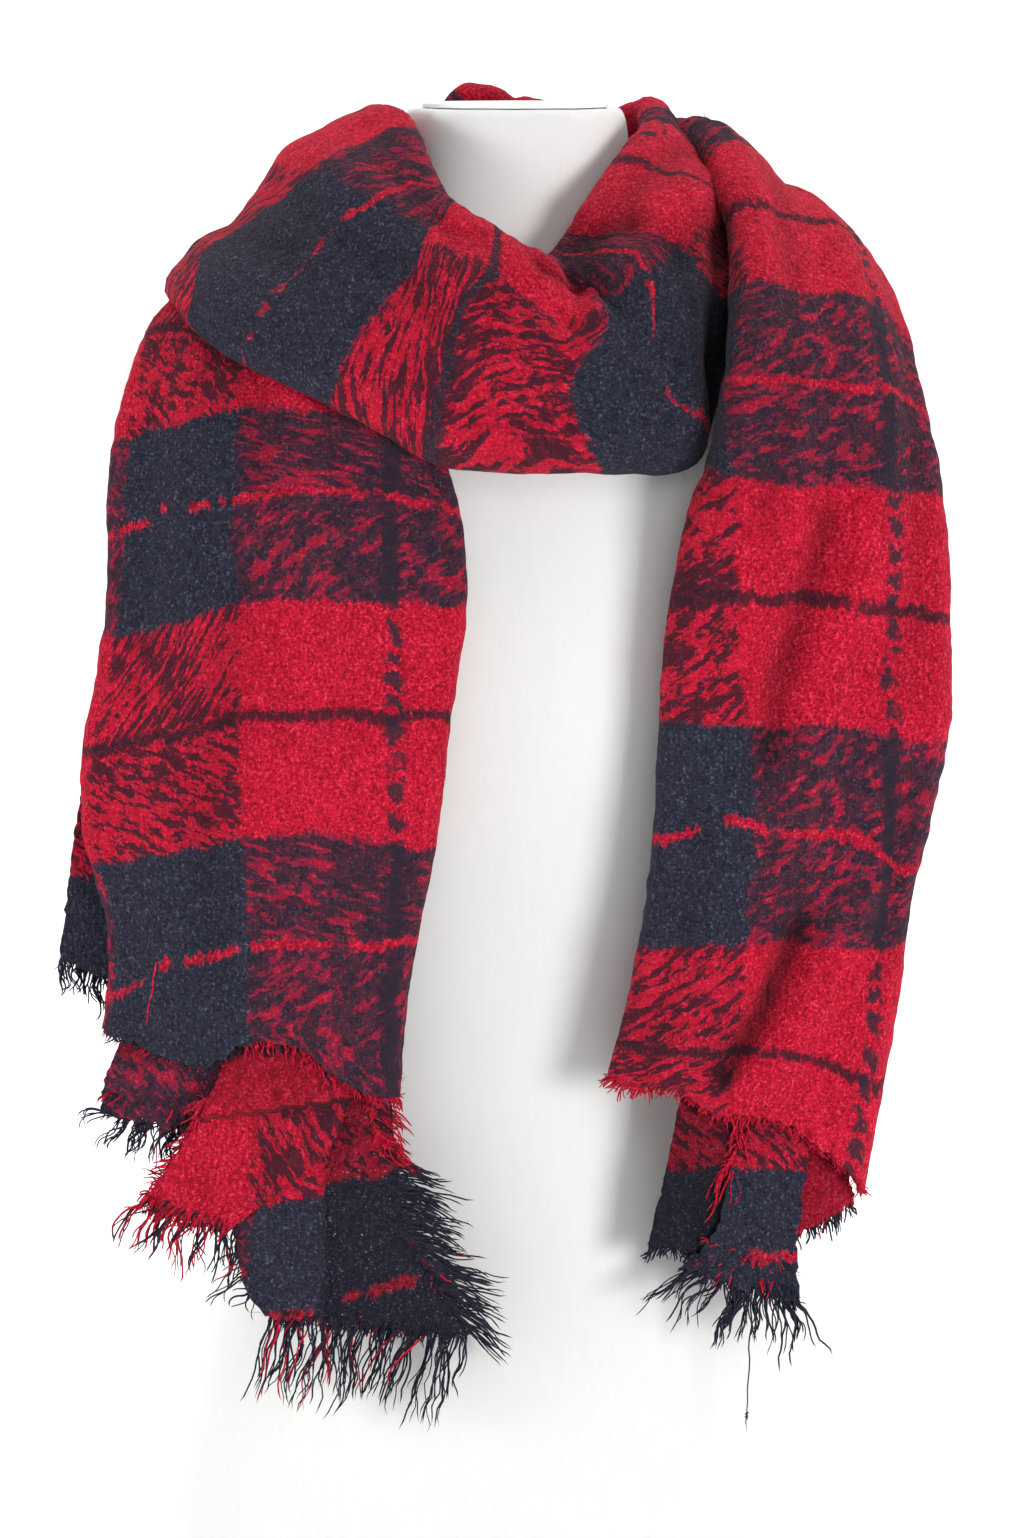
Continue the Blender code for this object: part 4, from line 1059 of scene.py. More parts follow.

# %% [markdown]
# ## Loose layers below the two ends
#
# Under each hem the other layers of the folded cloth hang out, each with its own outline. A
# layer could be cut from a plane with the knife. Here it is a fine sheet inside an outline,
# laid on its solid by looking at it from the front. Its edge is torn a little, and its plaid
# is charted like that of the band.

# %% Outlines and plaid of the layers
# rows: left x, drop, right x, drop below the neck top, in millimetres
# across: at a drop, (x, width across the cloth), ...; along: (drop, length along the cloth)
# slope: how much the lines across the cloth rise to the right; open: how open the weave is
# shade: how dark the painted shade under the hem in front is, down to which drop it is full,
# and at which drop it is gone; fold: how much a fold across the layer rises to the right; lap:
# left of this x the layer is folded over to the front; tear: how far its edge is torn, in
# millimetres
LAYERS = {
    "left_layer_red": {
        "columns": 44, "tear": 2.4, "open": 0.0, "slope": 0.0, "twill": 1.0, "fold": 0.17,
        "shade": (0.5, 484, 500),
        "rows": ((-148, 384, -96, 384), (-146, 425, -84, 425), (-145, 470, -76, 472),
                 (-163, 507, -92, 512), (-187, 541, -143, 552)),
        "across": ((380, ((-190, 176), (-60, 230))), (490, ((-190, 176), (-60, 230))),
                   (490.5, ((-190, 176), (-129, 232), (-60, 299)))),
        "along": ((380, 100), (466, 177), (548, 231)),
    },
    "left_layer_long": {
        "columns": 50, "tear": 1.4, "open": 1.0, "slope": 0.20, "twill": 0.25, "lap": -94.5,
        "rows": ((-142, 388, -62, 388), (-142, 430, -62, 432), (-142, 476, -62, 482),
                 (-141, 515, -58, 520), (-140, 552, -54, 556), (-136, 582, -34, 590),
                 (-124, 597, -22, 604)),
        "across": ((380, ((-127, 0), (-40, 70))), (530, ((-127, 0), (-40, 70))),
                   (610, ((-142, 0), (-40, 80)))),
        "along": ((470, -60), (534, 0), (590, 54), (598, 60), (620, 80)),
    },
    "left_layer_side": {
        "columns": 34, "tear": 2.8, "open": 0.0, "slope": 0.15, "shade": (0.5, 458, 476),
        "rows": ((-190, 392, -130, 392), (-190, 434, -128, 434), (-197, 460, -128, 462),
                 (-206, 482, -130, 488), (-207, 496, -132, 512)),
        "across": ((380, ((-200, 116), (-130, 166))), (503, ((-200, 116), (-130, 166))),
                   (509, ((-208, 112), (-199, 0), (-130, 50)))),
        "along": ((400, -16), (452, 0), (520, 50)),
    },
    "left_flap": {
        "columns": 22, "tear": 1.6, "open": 0.2, "slope": 0.0,
        "rows": ((-213, 320, -178, 320), (-220, 356, -182, 360), (-225, 396, -184, 400),
                 (-229, 423, -194, 434)),
        "across": ((300, ((-240, 10), (-180, 70))), (440, ((-240, 10), (-180, 70)))),
        "along": ((320, -62), (380, 0), (440, 48)),
    },
    "right_layer_mid": {
        "columns": 34, "tear": 2.4, "open": 0.15, "slope": -0.10, "shade": (0.9, 486, 518),
        "rows": ((122, 416, 152, 416), (120, 450, 150, 452), (117, 495, 147, 505),
                 (108, 515, 144, 525), (101, 550, 140, 560), (84, 570, 142, 590)),
        "across": ((400, ((84, 0), (150, 66))), (600, ((84, 0), (150, 66)))),
        "along": ((440, -80), (521, 0), (556, 48), (573, 62), (600, 80)),
    },
    "right_layer_back": {
        "columns": 34, "tear": 1.4, "open": 0.6, "slope": 0.0, "shade": (0.65, 560, 640),
        "rows": ((86, 404, 124, 404), (84, 440, 122, 442), (82, 482, 120, 492),
                 (75, 520, 112, 524), (66, 558, 98, 563)),
        "across": ((400, ((40, 0), (100, 60))), (600, ((40, 0), (100, 60)))),
        "along": ((440, -76), (519, 0), (580, 50)),
    },
    "right_layer_inner": {
        "columns": 30, "tear": 2.2, "open": 0.55, "slope": 0.0, "shade": (0.5, 500, 600),
        "rows": ((128, 440, 166, 440), (132, 480, 164, 480), (140, 520, 166, 518),
                 (139, 558, 170, 543)),
        "across": ((400, ((100, 116), (170, 160))), (600, ((100, 116), (170, 160)))),
        "along": ((440, 180), (560, 226)),
    },
}
print(len(LAYERS), "layers, from", min(chart["columns"] for chart in LAYERS.values()),
      "columns of points")

# %% Shape of a layer
LAYER_STEP = 2.6        # between two rows of a layer, in millimetres
TORN_COLUMNS = 3        # points from an edge over which the tear fades out
ROUNDING = 3            # rows on both sides with which an outline is averaged
FOLD_DEPTH, LAP_DEPTH = 2.6, 2.2    # how far these stand out to the front, in millimetres


def rounded_line(marks, line, count):
    """One column of an outline at count even levels, with its corners rounded."""
    even = np.interp(np.linspace(0, 1, count), marks, line)
    padded = np.pad(even, ROUNDING, "reflect", reflect_type="odd")
    size = 2 * ROUNDING + 1
    return np.convolve(padded, np.ones(size) / size, "valid")[:, None]


def layer_outline(chart, seed):
    """Across and drop of the points of a layer, in millimetres, with torn edges."""
    outline = np.array(chart["rows"], float)
    drops = (outline[:, 1] + outline[:, 3]) / 2
    count = int((drops[-1] - drops[0]) / LAYER_STEP) + 1
    marks = (drops - drops[0]) / (drops[-1] - drops[0])
    left_x, left_drop, right_x, right_drop = (rounded_line(marks, line, count)
                                              for line in outline.T)
    shares = np.linspace(0, 1, chart["columns"])
    x = left_x * (1 - shares) + right_x * shares
    drop = left_drop * (1 - shares) + right_drop * shares
    for row, column in np.ndindex(x.shape):
        near = min(column, chart["columns"] - 1 - column, TORN_COLUMNS) / TORN_COLUMNS
        low = min(count - 1 - row, TORN_COLUMNS) / TORN_COLUMNS
        place = Vector((row / 1.7, column / 1.7, seed))
        x[row, column] += chart["tear"] * (1 - near) * noise.noise(place)
        drop[row, column] += 2 * chart["tear"] * (1 - low) * noise.noise(place * 1.3)
    return x, drop


def front_depth(node, x, drop):
    """Depth of a CAD node at each point, seen from the front, in millimetres."""
    surface = surface_of(node)
    depth = np.full(x.shape, np.nan)
    for spot in np.ndindex(x.shape):
        start = Vector((x[spot], -600, NECK_TOP - drop[spot])) * MM
        hit = surface.ray_cast(start, Vector((0, 1, 0)), 1.2)
        if hit[0] is not None:
            depth[spot] = hit[0].y / MM
    return smoothed(depth, 4)


def layer_plaid(chart, x, drop):
    """Width across and length along the cloth at each point, and the share folded back."""
    aside = x - x.mean()
    along = np.interp(drop + chart["slope"] * aside, *zip(*chart["along"]))
    levels = np.array([level for level, _ in chart["across"]])
    lines = np.array([[line_through(pairs, place) for place in x.ravel()]
                      for _, pairs in chart["across"]]).reshape((-1,) + x.shape)
    level = drop + chart.get("fold", 0.0) * aside
    after = np.clip(np.searchsorted(levels, level), 1, len(levels) - 1)
    share = np.clip((level - levels[after - 1]) / (levels[after] - levels[after - 1]), 0, 1)
    before_line, after_line = (np.take_along_axis(lines, rows[None], axis=0)[0]
                               for rows in (after - 1, after))
    folded = np.clip((levels[1] + 1 - level) / 2.0, 0, 1) if "fold" in chart else 0.0
    return before_line * (1 - share) + after_line * share, along, folded


print("layers can be shaped")


# %% Build the layers
LAYER_WALL = 1.2        # the thin parts of the cloth, in millimetres


def layer_piece(node, chart, cloth_seed):
    """One loose layer, and the grid of its points in millimetres."""
    seed = float(len(node))
    x, drop = layer_outline(chart, seed)
    y = front_depth(node, x, drop)
    across, along, folded = layer_plaid(chart, x, drop)
    for row, column in np.ndindex(x.shape):
        spot = row, column
        y[spot] += 0.8 * lumps_at(across[spot], along[spot], seed)
        y[spot] += 0.5 * math.sin((x[spot] - 0.55 * drop[spot]) / 5.5
                                  + 1.5 * noise.noise(Vector((row / 20, column / 20, seed))))
    lapped = np.clip((chart.get("lap", -999.0) - x) / 1.6, 0, 1)
    y -= FOLD_DEPTH * folded + LAP_DEPTH * lapped
    if "lap" in chart:
        along += 5.0 * (1 - lapped)
    # painted shade under the hem in front: full down to one drop, gone at another
    strength, full, gone = chart.get("shade", (0.0, 0.0, 1.0))
    points = np.stack((x, y, NECK_TOP - drop), axis=-1)
    piece = cloth_piece("wool_" + node, points, across, along, LAYER_WALL, seed=cloth_seed,
                        open=chart["open"] * (1 - lapped), lean=0.8,
                        twill=chart.get("twill", 0.0),
                        hollow=strength * np.clip((gone - drop) / (gone - full), 0, 1))
    piece.data.materials.append(wool_material)
    return piece, points


layers, layer_points = {}, {}
for number, (node, chart) in enumerate(LAYERS.items()):
    layers[node], layer_points[node] = layer_piece(node, chart, 2.0 + number)
    print(layers[node].name, len(layers[node].data.polygons), "faces")

# %% [markdown]
# ## Fringes and loose threads
#
# The frayed edges end in threads. Hair curves could make them, but an exported piece needs a
# mesh. So each thread is a thin tapering tube that starts on its edge, leans the way its fringe
# lies, sags, wanders and leans to its neighbours. Threads that hang from a hem are warp
# threads, those that stick out sideways are weft threads, and both take the colour of the
# stripe that they come from.

# %% Thread maker
NAVY_SPOT, RED_SPOT = (0.056, 0.030), (0.205, 0.200)    # on the cloth, in metres
TAPER = 0.40            # share of its thickness that a thread loses


class Threads:
    """Many threads gathered into one mesh."""

    def __init__(self, seed):
        self.dice = random.Random(seed)
        self.points, self.faces, self.spots = [], [], []

    def add(self, line, thick, red, sides=3):
        """One thread along a line of points in millimetres."""
        start = len(self.points)
        line = [Vector(point) for point in line]
        last = len(line) - 1
        turn = self.dice.uniform(0, 6.28)
        for number, point in enumerate(line[:-1]):
            ahead = (line[number + 1] - line[max(number - 1, 0)]).normalized()
            side = ahead.cross(Vector((0, 1, 0.1))).normalized()
            other = ahead.cross(side)
            reach = thick / 2 * (1 - TAPER * number / last)
            for corner in range(sides):
                angle = turn + 2 * math.pi * corner / sides
                self.points.append(point + (side * math.cos(angle)
                                            + other * math.sin(angle)) * reach)
        self.points.append(line[-1])
        for number in range(last - 1):
            for corner in range(sides):
                a = start + number * sides + corner
                b = start + number * sides + (corner + 1) % sides
                self.faces.append((a, b, b + sides, a + sides))
        ring, tip = start + (last - 1) * sides, len(self.points) - 1
        for corner in range(sides):
            self.faces.append((ring + corner, ring + (corner + 1) % sides, tip))
        self.faces.append(tuple(start + sides - 1 - corner for corner in range(sides)))
        self.spots += [RED_SPOT if red else NAVY_SPOT] * (len(self.points) - start)

    def piece(self, name):
        """The mesh object of all threads so far."""
        made = new_piece(name, [tuple(point * MM) for point in self.points], self.faces)
        across, along = np.array(self.spots).T
        put_numbers(made, across=across, along=along, seed=1.0, lean=1.0)
        turn_outwards(made)
        made.data.materials.append(thread_material)
        return made


def thread_line(dice, start, heading, length, sag, wander, joints=10, phase=None):
    """Points of one thread: heading in degrees from straight down, to the right when positive."""
    point = Vector(start)
    angle = math.radians(heading)
    sway = Vector(phase or (dice.uniform(0, 50), dice.uniform(0, 50), dice.uniform(0, 50)))
    line = [point.copy()]
    for number in range(joints):
        share = (number + 1) / joints
        bent = angle * (1 - sag * share)
        curl = (noise.noise(sway + Vector((share * length / 11, 0, 0)))
                + 0.5 * noise.noise(sway + Vector((7, share * length / 7, 0)))) * wander
        out = noise.noise(sway + Vector((0, share * length / 11, 0))) * wander * 0.6
        step = Vector((math.sin(bent + curl), out, -math.cos(bent + curl)))
        point = point + step.normalized() * (length / joints)
        line.append(point.copy())
    return line


def along_edge(line, share):
    """A point on a line of points, at a share of its length."""
    steps = np.concatenate(([0.0], np.cumsum(np.linalg.norm(np.diff(line, axis=0), axis=1))))
    where = share * steps[-1]
    return Vector([float(np.interp(where, steps, line[:, k])) for k in range(3)])


print("threads can be spun")

# %% [markdown]
# ## One fringe
#
# Frayed threads aren't even like the teeth of a comb: a few neighbours cling together in a
# clump, and each clump has its own lean and length. Between the long threads stand short
# broken ones that point all ways.

# %% Lay a fringe along an edge
CLUMP = 7               # threads that cling together
GATHER = 3.8            # degrees by which each leans to the middle of its clump, at most


def fringe(threads, line, first, last, count, length, headings, reds, sag, mess=1.0):
    """Threads along part of an edge; mess is how far they stray."""
    dice = threads.dice
    pitch = (last - first) / count
    for number in range(count):
        share = number / (count - 1)
        if number % CLUMP == 0:
            lean = dice.uniform(-12, 12) * mess
            grow = dice.uniform(0.72, 1.15)
            phase = [dice.uniform(0, 50) for _ in range(3)]
            gather = dice.uniform(0.2, 1.0)
        off_middle = number % CLUMP - (CLUMP - 1) / 2
        start = along_edge(line, min(max(first + (last - first) * share
                                         + dice.uniform(-0.4, 0.4) * pitch, 0), 1))
        heading = headings[0] + (headings[1] - headings[0]) * share + lean
        heading += (dice.uniform(-7, 7) - off_middle * GATHER * gather) * mess
        red = dice.random() < reds[0] + (reds[1] - reds[0]) * share
        start.y += dice.uniform(-0.4, 0.9)
        own = [value + dice.uniform(-0.35, 0.35) for value in phase]
        threads.add(thread_line(dice, start, heading, length * grow * dice.uniform(0.66, 1.1),
                                sag, (1.5 if length < 30 else 1.0) * mess, phase=own),
                    dice.uniform(0.85, 1.6), red)
    for number in range(count):
        share = dice.random()
        start = along_edge(line, first + (last - first) * share)
        start.y += dice.uniform(-0.6, 1.0)
        heading = headings[0] + (headings[1] - headings[0]) * share
        heading += dice.uniform(-38, 38) * mess
        red = dice.random() < reds[0] + (reds[1] - reds[0]) * share
        threads.add(thread_line(dice, start, heading, dice.uniform(2.5, 8), 0.1, 1.8, joints=5),
                    dice.uniform(0.6, 1.1), red)


print("threads in a clump:", CLUMP)

# %% Fringes of the layers
# name, sheet, edge, first, last, threads, length, heading first, last, red share first, last, sag
FRINGES = (
    ("fringe_flap", "left_flap", "hem", 0.02, 0.98, 44, 20, -16, 4, 0.0, 0.0, 0.3),
    ("fringe_side", "left_layer_side", "hem", 0.01, 0.88, 84, 23, -50, 4, 0.02, 0.45, 0.35),
    ("fringe_red", "left_layer_red", "hem", 0.02, 0.98, 64, 30, -42, -12, 0.60, 0.25, 0.4),
    ("fringe_long", "left_layer_long", "hem", 0.02, 0.98, 130, 45, -10, -24, 0.12, 0.03, 0.3),
    ("fringe_long_side", "left_layer_long", "right", 0.62, 0.97, 66, 36, 68, 62, 0.0, 0.0, 0.25),
    ("fringe_long_left", "left_layer_long", "left", 0.76, 0.94, 18, 25, -36, -52, 0.1, 0.1, 0.4),
    ("fringe_red_side", "left_layer_red", "left", 0.60, 0.98, 44, 12, -60, -66, 0.95, 0.9, 0.2),
    ("fringe_back", "right_layer_back", "hem", 0.03, 0.97, 40, 9, -8, 4, 0.0, 0.0, 0.2),
    ("fringe_mid", "right_layer_mid", "hem", 0.03, 0.97, 86, 32, -56, 24, 0.0, 0.0, 0.25),
    ("fringe_mid_side", "right_layer_mid", "left", 0.36, 0.66, 50, 34, -6, -16, 1.0, 1.0, -0.3),
    ("fringe_inner", "right_layer_inner", "hem", 0.05, 0.95, 40, 10, -24, 26, 0.15, 0.1, 0.2),
)
# a comb of threads rising out of a sheet's face, from (x, drop) to (x, drop), count, length,
# heading first, last, red share first, last, sag
COMBS = {
    "fringe_long_side": (
        ("left_layer_long", (-78, 468), (-67, 512), 130, 26, 38, 52, 1.0, 1.0, 0.0),
        ("left_layer_long", (-64, 514), (-56, 556), 90, 37, 82, 74, 0.0, 0.0, 0.15),
        ("left_layer_long", (-56, 552), (-34, 588), 70, 40, 80, 66, 0.1, 0.0, 0.1)),
    "fringe_long": (
        ("left_layer_long", (-116, 592), (-40, 598), 90, 12, -20, 10, 0.15, 0.05, 0.2),),
    "fringe_red": (
        ("left_layer_red", (-184, 536), (-142, 548), 50, 14, -44, -10, 0.8, 0.5, 0.4),),
    "fringe_side": (
        ("left_layer_side", (-204, 486), (-136, 502), 60, 10, -40, 0, 0.3, 0.5, 0.3),),
    "fringe_mid": (
        ("right_layer_mid", (90, 562), (138, 582), 110, 12, -70, 30, 0.05, 0.1, 0.2),
        ("right_layer_mid", (96, 556), (138, 570), 60, 7, -70, 30, 0.5, 0.3, 0.2)),
}
MESS = {"fringe_long_side": 0.45, "fringe_long": 0.8}
COMB_MESS = 0.6
EDGES = {"hem": np.s_[-1], "left": np.s_[:, 0], "right": np.s_[:, -1]}


def comb_line(node, first, last):
    """A line of points just in front of a sheet, from one (x, drop) to another."""
    spots = layer_points[node].reshape(-1, 3)
    line = []
    for share in np.linspace(0, 1, 9):
        x, drop = (a * (1 - share) + b * share for a, b in zip(first, last))
        z = NECK_TOP - drop
        near = spots[np.argmin(np.hypot(spots[:, 0] - x, spots[:, 2] - z))]
        line.append((x, near[1] - 0.8, z))
    return np.array(line)


def stray_thread(threads, start):
    """The one long thread that hangs from a fringe and ends in a small knot."""
    stray = thread_line(threads.dice, start, -3, 76, 0.1, 0.35, joints=14)
    threads.add(stray, 1.1, False)
    knot = [stray[-3] + Vector((0.9 * math.sin(2.2 * k), 0.7 * math.cos(2.2 * k), -0.5 * k))
            for k in range(9)]
    threads.add(knot, 1.1, False)


fringes = {}
for seed, (name, node, side, first, last, count, length, *rest) in enumerate(FRINGES):
    threads = Threads(seed + 11)
    line = layer_points[node][EDGES[side]]
    fringe(threads, line, first, last, count, length, rest[0:2], rest[2:4], rest[4],
           MESS.get(name, 1.0))
    for sheet, start, end, many, long, *more in COMBS.get(name, ()):
        fringe(threads, comb_line(sheet, start, end), 0, 1, many, long, more[0:2], more[2:4],
               more[4], COMB_MESS)
    if name == "fringe_mid":
        stray_thread(threads, along_edge(line, 0.62))
    fringes[name] = threads.piece("threads_" + name)
    print(name, count, "threads,", len(fringes[name].data.polygons), "faces")

# %% Frayed hems of the two hanging ends
# hem, first, last, threads, length, headings, red shares
HEM_FRINGES = {
    "left": ((0.50, 0.98, 70, 11, (-8, 44), (0.7, 0.9)),
             (0.03, 0.50, 60, 4, (-30, 10), (0.2, 0.1))),
    "right": ((0.02, 0.98, 150, 4, (30, -30), (1.0, 1.0)),
              (0.84, 0.99, 26, 10, (-30, -70), (1.0, 1.0))),
}


def hem_threads(end, seed):
    """Short threads along the face of one end's hem, and the line they start on."""
    row = 0 if end == "left" else len(row_places) - 1
    line = grid[row, BACK + 2:BACK + 2 * ARC + FACE - 2]
    threads = Threads(seed)
    for values in HEM_FRINGES[end]:
        fringe(threads, line, *values, 0.2)
    return threads, line


threads, line = hem_threads("left", 71)
dangling = Vector((-177.0, line[10][1] - 6, 424.0))
threads.add(thread_line(threads.dice, dangling, -8, 33, 0.1, 0.5, joints=12), 1.0, True)
fringes["fringe_front"] = threads.piece("threads_fringe_front")
threads, line = hem_threads("right", 93)
fringes["right_hem"] = threads.piece("threads_right_hem")
print("hems:", sum(len(fringes[name].data.polygons) for name in ("fringe_front", "right_hem")),
      "faces")

# %% [markdown]
# ## Fuzz
#
# Brushed wool stands out in fine curved hairs. A hair particle system would grow them, but it
# isn't a mesh, and a rougher surface wouldn't soften the outline. So short hairs of two joints
# are scattered over the outer faces of every sheet, leaning all ways, and each takes the plaid
# of the spot it grows from.

# %% Hairs on the sheets
HAIRS_PER_SQUARE_METRE = 62000
HAIR_LENGTHS = (0.0018, 0.0046)         # metres
LONGER_HAIRS = ((1.0, 0.58), (1.8, 0.30), (2.7, 0.12))  # times as long, share of the hairs
ROOT_REACH, MIDDLE_REACH = 0.00015, 0.00011             # half thickness, metres
HAIR_POINTS = 7         # three round the root, three round the middle and the tip
HAIR_FACES = ((0, 1, 4, 3), (1, 2, 5, 4), (2, 0, 3, 5), (3, 4, 6), (4, 5, 6), (5, 3, 6),
              (2, 1, 0))
# the hairs carry the painted shade of the spot they grow from as well
COPIED_NUMBERS = ("across", "along", "seed", "open", "lean", "hollow")


def unit(vectors):
    """Vectors of length one."""
    return vectors / np.maximum(np.linalg.norm(vectors, axis=1), 1e-6)[:, None]


def fuzz(host, seed):
    """Short curved hairs on the outer faces of a sheet."""
    dice = np.random.default_rng(seed)
    mesh = host.data
    outer = mesh.polygons[:len(mesh.polygons) // 2]
    areas = np.array([face.area for face in outer])
    count = int(areas.sum() * HAIRS_PER_SQUARE_METRE)
    chosen = dice.choice(len(areas), count, p=areas / areas.sum())
    centres = np.array([face.center for face in outer])[chosen]
    outward = np.array([face.normal for face in outer])[chosen]
    corners = np.array([face.vertices[0] for face in outer])[chosen]
    base = centres + dice.uniform(-0.0014, 0.0014, (count, 3))
    lean = dice.normal(0, 1, (count, 3))
    lean = unit(lean - outward * np.sum(lean * outward, axis=1)[:, None])
    times, shares = zip(*LONGER_HAIRS)
    length = dice.uniform(*HAIR_LENGTHS, (count, 1)) * dice.choice(times, (count, 1), p=shares)
    stand = dice.uniform(0.35, 1.0, (count, 1))
    middle = base + (outward * stand * 0.8 + lean * 0.35) * length * 0.55
    tip = middle + (outward * stand * 0.30 + lean * 0.75) * length * 0.55
    base -= outward * 0.0005
    side = np.cross(outward, lean)
    points = [place + (side * math.cos(angle) + lean * math.sin(angle)) * reach
              for place, reach in ((base, ROOT_REACH), (middle, MIDDLE_REACH))
              for angle in (2 * math.pi * turn / 3 for turn in range(3))]
    points = np.stack(points + [tip], axis=1).reshape(-1, 3)
    faces = [tuple(number * HAIR_POINTS + corner for corner in face)
             for number in range(count) for face in HAIR_FACES]
    piece = new_piece("fuzz_" + host.name, points.tolist(), faces)
    for label in COPIED_NUMBERS:
        values = np.zeros(len(mesh.vertices), np.float32)
        mesh.attributes["cloth_" + label].data.foreach_get("value", values)
        put_numbers(piece, **{label: np.repeat(values[corners], HAIR_POINTS)})
    turn_outwards(piece)
    piece.data.materials.append(thread_material)
    return piece


fuzzes = {}
for number, (name, host) in enumerate({**stretches, **layers}.items()):
    fuzzes[name] = fuzz(host, number + 5)
    print(fuzzes[name].name, len(fuzzes[name].data.polygons), "faces")

# %% [markdown]
# ## The dress form
#
# The limbless form is a smooth solid of painted linen. It could be built up again from level
# rings, but its CAD mesh already has the right shape. So a copy is merged, its triangles are
# joined to quads and rounded with a subdivision surface, and the base rim is kept sharp, so
# the form still stands flat.

# %% Dress form
ROUND_ANGLE = math.radians(40)      # sharper edges than this stay sharp


def smooth_copy(name, node):
    """A merged, rounded copy of a CAD node's mesh."""
    piece = bpy.data.objects.new(name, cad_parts[node].data.copy())
    bpy.context.collection.objects.link(piece)
    piece.data.materials.clear()
    pick(piece)
    bpy.ops.object.mode_set(mode="EDIT")
    bpy.ops.mesh.select_all(action="SELECT")
    bpy.ops.mesh.remove_doubles(threshold=0.00005)
    bpy.ops.mesh.tris_convert_to_quads(face_threshold=math.radians(50),
                                       shape_threshold=math.radians(60))
    bpy.ops.object.mode_set(mode="OBJECT")
    sharp = piece.data.attributes.new("crease_edge", "FLOAT", "EDGE")
    low = [all(piece.data.vertices[v].co.z < 0.0005 for v in edge.vertices)
           for edge in piece.data.edges]
    sharp.data.foreach_set("value", np.array(low, np.float32))
    rounded = piece.modifiers.new("rounding", "SUBSURF")
    rounded.levels = 1
    rounded.render_levels = 1
    apply_all(piece)
    bpy.ops.object.shade_smooth_by_angle(angle=ROUND_ANGLE)
    return piece


form = smooth_copy("linen_form", "dress_form")
print("form faces:", len(form.data.polygons))

# %% [markdown]
# ## The cap
#
# A thin round plate closes the neck. It is a cylinder of the plate's size, with its rim
# rounded by a small bevel, so that the rim catches a line of light.

# %% Neck cap
corners = np.array([vertex.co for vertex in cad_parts["neck_cap"].data.vertices])
low, high = Vector(corners.min(axis=0)), Vector(corners.max(axis=0))
bpy.ops.mesh.primitive_cylinder_add(vertices=96, radius=0.5, depth=1)
cap = bpy.context.object
cap.name = "neck_plate"
cap.scale = high - low
cap.location = (low + high) / 2
bpy.ops.object.transform_apply(location=True, rotation=False, scale=True)
rim = cap.modifiers.new("rim", "BEVEL")
rim.width = 0.0006
rim.segments = 3
rim.limit_method = "ANGLE"
apply_all(cap)
bpy.ops.object.shade_smooth_by_angle(angle=ROUND_ANGLE)
print("cap faces:", len(cap.data.polygons))

# %% Painted linen and white plastic
linen = Nodes("painted_linen")
body = linen.add("TexCoord").outputs["Object"]
upright = linen.math("MULTIPLY", body, (1, 1, 0.06), kind="VectorMath")
threads_seen = linen.grain(upright, 420, 3.0, 0.6)
tone = linen.mix(linen.step(threads_seen, 0.3, 0.7), (0.652, 0.648, 0.638, 1),
                 (0.664, 0.661, 0.652, 1))
tone = linen.mix(linen.step(linen.grain(body, 9, 2.0), 0.4, 0.7), tone,
                 (0.69, 0.69, 0.685, 1), 0.25)
form.data.materials.append(linen.surface(
    Base_Color=tone, Roughness=0.8, Specular_IOR_Level=0.2,
    Normal=linen.add("Bump", Strength=0.12, Distance=0.0003, Height=threads_seen)))
cap.data.materials.append(Nodes("white_plastic").surface(
    Base_Color=(0.88, 0.88, 0.88, 1), Roughness=0.35))
print("materials of the form:", form.data.materials[0].name, cap.data.materials[0].name)

# %% [markdown]
# ## Room and light
#
# The form stands on a pale floor that rises in a smooth sweep behind it. Soft light comes from
# all round, with a large lamp low on the right in front, which models the folds and lets the
# scarf throw a shadow on the form.

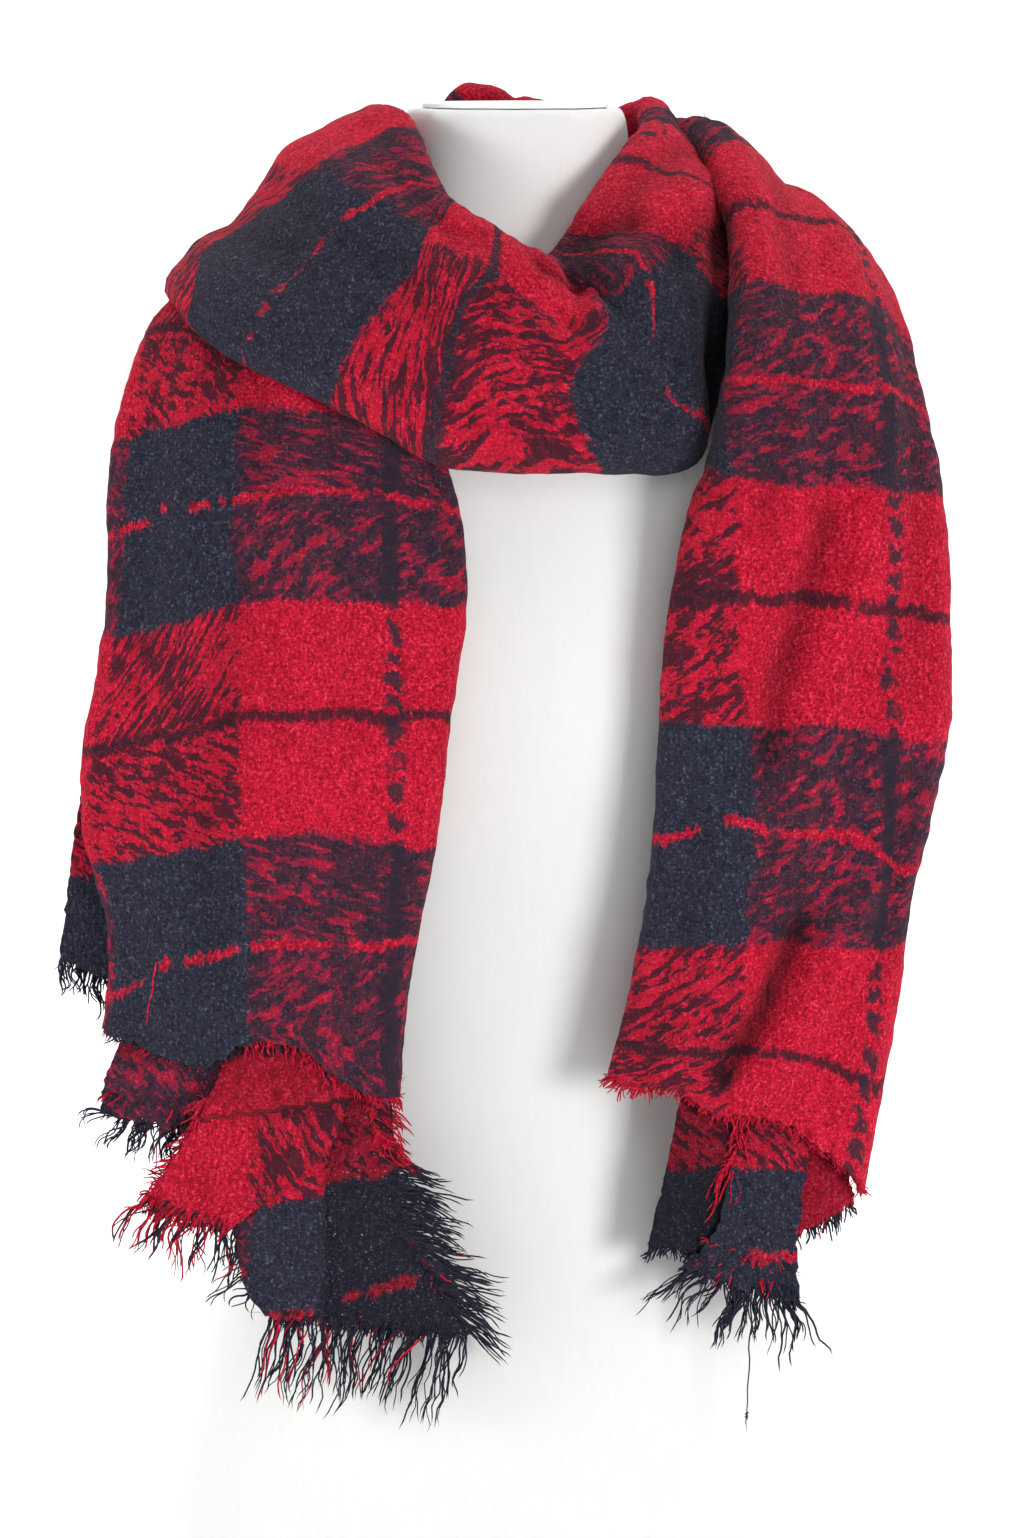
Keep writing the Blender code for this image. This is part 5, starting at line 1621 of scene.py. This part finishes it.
# %% Floor and backdrop
SWEEP_START, SWEEP_RADIUS, SWEEP_STEPS = 3.0, 1.5, 24
HALF_FLOOR, WALL_TOP = 9.0, 8.0
profile = [(-6.0, 0.0), (-3.0, 0.0), (0.0, 0.0), (1.5, 0.0)]
for step in range(SWEEP_STEPS + 1):
    angle = math.pi / 2 * step / SWEEP_STEPS
    profile.append((SWEEP_START + SWEEP_RADIUS * math.sin(angle),
                    SWEEP_RADIUS * (1 - math.cos(angle))))
profile.append((SWEEP_START + SWEEP_RADIUS, WALL_TOP))
sweep = new_piece("white_sweep",
                  [(x, y, z) for y, z in profile for x in (-HALF_FLOOR, HALF_FLOOR)],
                  [(i, i + 1, i + 3, i + 2) for i in range(0, 2 * len(profile) - 2, 2)])
sweep.data.materials.append(Nodes("white_paper").surface(
    Base_Color=(0.90, 0.905, 0.915, 1), Roughness=0.9, Specular_IOR_Level=0.0))
print("sweep faces:", len(sweep.data.polygons))

# %% Lamps
# name, place, target, size, power in watts
LAMPS = (
    ("key", (1.80, -2.40, 0.42), (0.0, 0.0, 0.46), 1.0, 74),
    ("fill", (0.8, -2.6, 1.9), (0.0, 0.0, 0.6), 1.2, 12),
    ("left_rim", (-2.0, -0.6, 0.80), (0.0, 0.0, 0.45), 0.7, 20),
    ("right_rim", (1.5, 0.7, 0.50), (0.0, 0.0, 0.40), 0.6, 6),
    ("low_left", (-1.9, -0.7, 0.25), (0.0, 0.0, 0.12), 1.2, 16),
    ("low_right", (1.4, -1.7, 0.25), (0.0, 0.0, 0.10), 1.4, 3),
    ("back_wash", (0.0, 1.2, 3.4), (0.0, 3.6, 0.6), 3.0, 175),
)
for name, place, target, size, power in LAMPS:
    bpy.ops.object.light_add(type="AREA", location=place)
    lamp = bpy.context.object
    lamp.name = name
    lamp.data.size = size
    lamp.data.energy = power
    lamp.rotation_euler = (Vector(target) - Vector(place)).to_track_quat("-Z", "Y").to_euler()
world = bpy.data.worlds.new("soft_white")
world.use_nodes = True
world.node_tree.nodes["Background"].inputs["Color"].default_value = (0.97, 0.985, 1.0, 1)
world.node_tree.nodes["Background"].inputs["Strength"].default_value = 0.24
bpy.context.scene.world = world
bpy.context.scene.view_settings.view_transform = "Standard"
print(len(LAMPS), "lamps")

# %% [markdown]
# ## Attach the pieces
#
# Every piece rides on the still body of the frame, and the CAD node that it stands for is
# hidden where there is one.

# %% Attach every piece
for name, piece in {**stretches, **layers}.items():
    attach(piece, "root")
    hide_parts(name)
    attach(fuzzes[name], "root")
for name, piece in fringes.items():
    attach(piece, "root")
    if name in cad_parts:
        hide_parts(name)
for piece, slot, node in ((form, "form_linen", "dress_form"), (cap, "cap_plastic", "neck_cap")):
    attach(piece, "root")
    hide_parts(node)
bpy.context.view_layer.update()
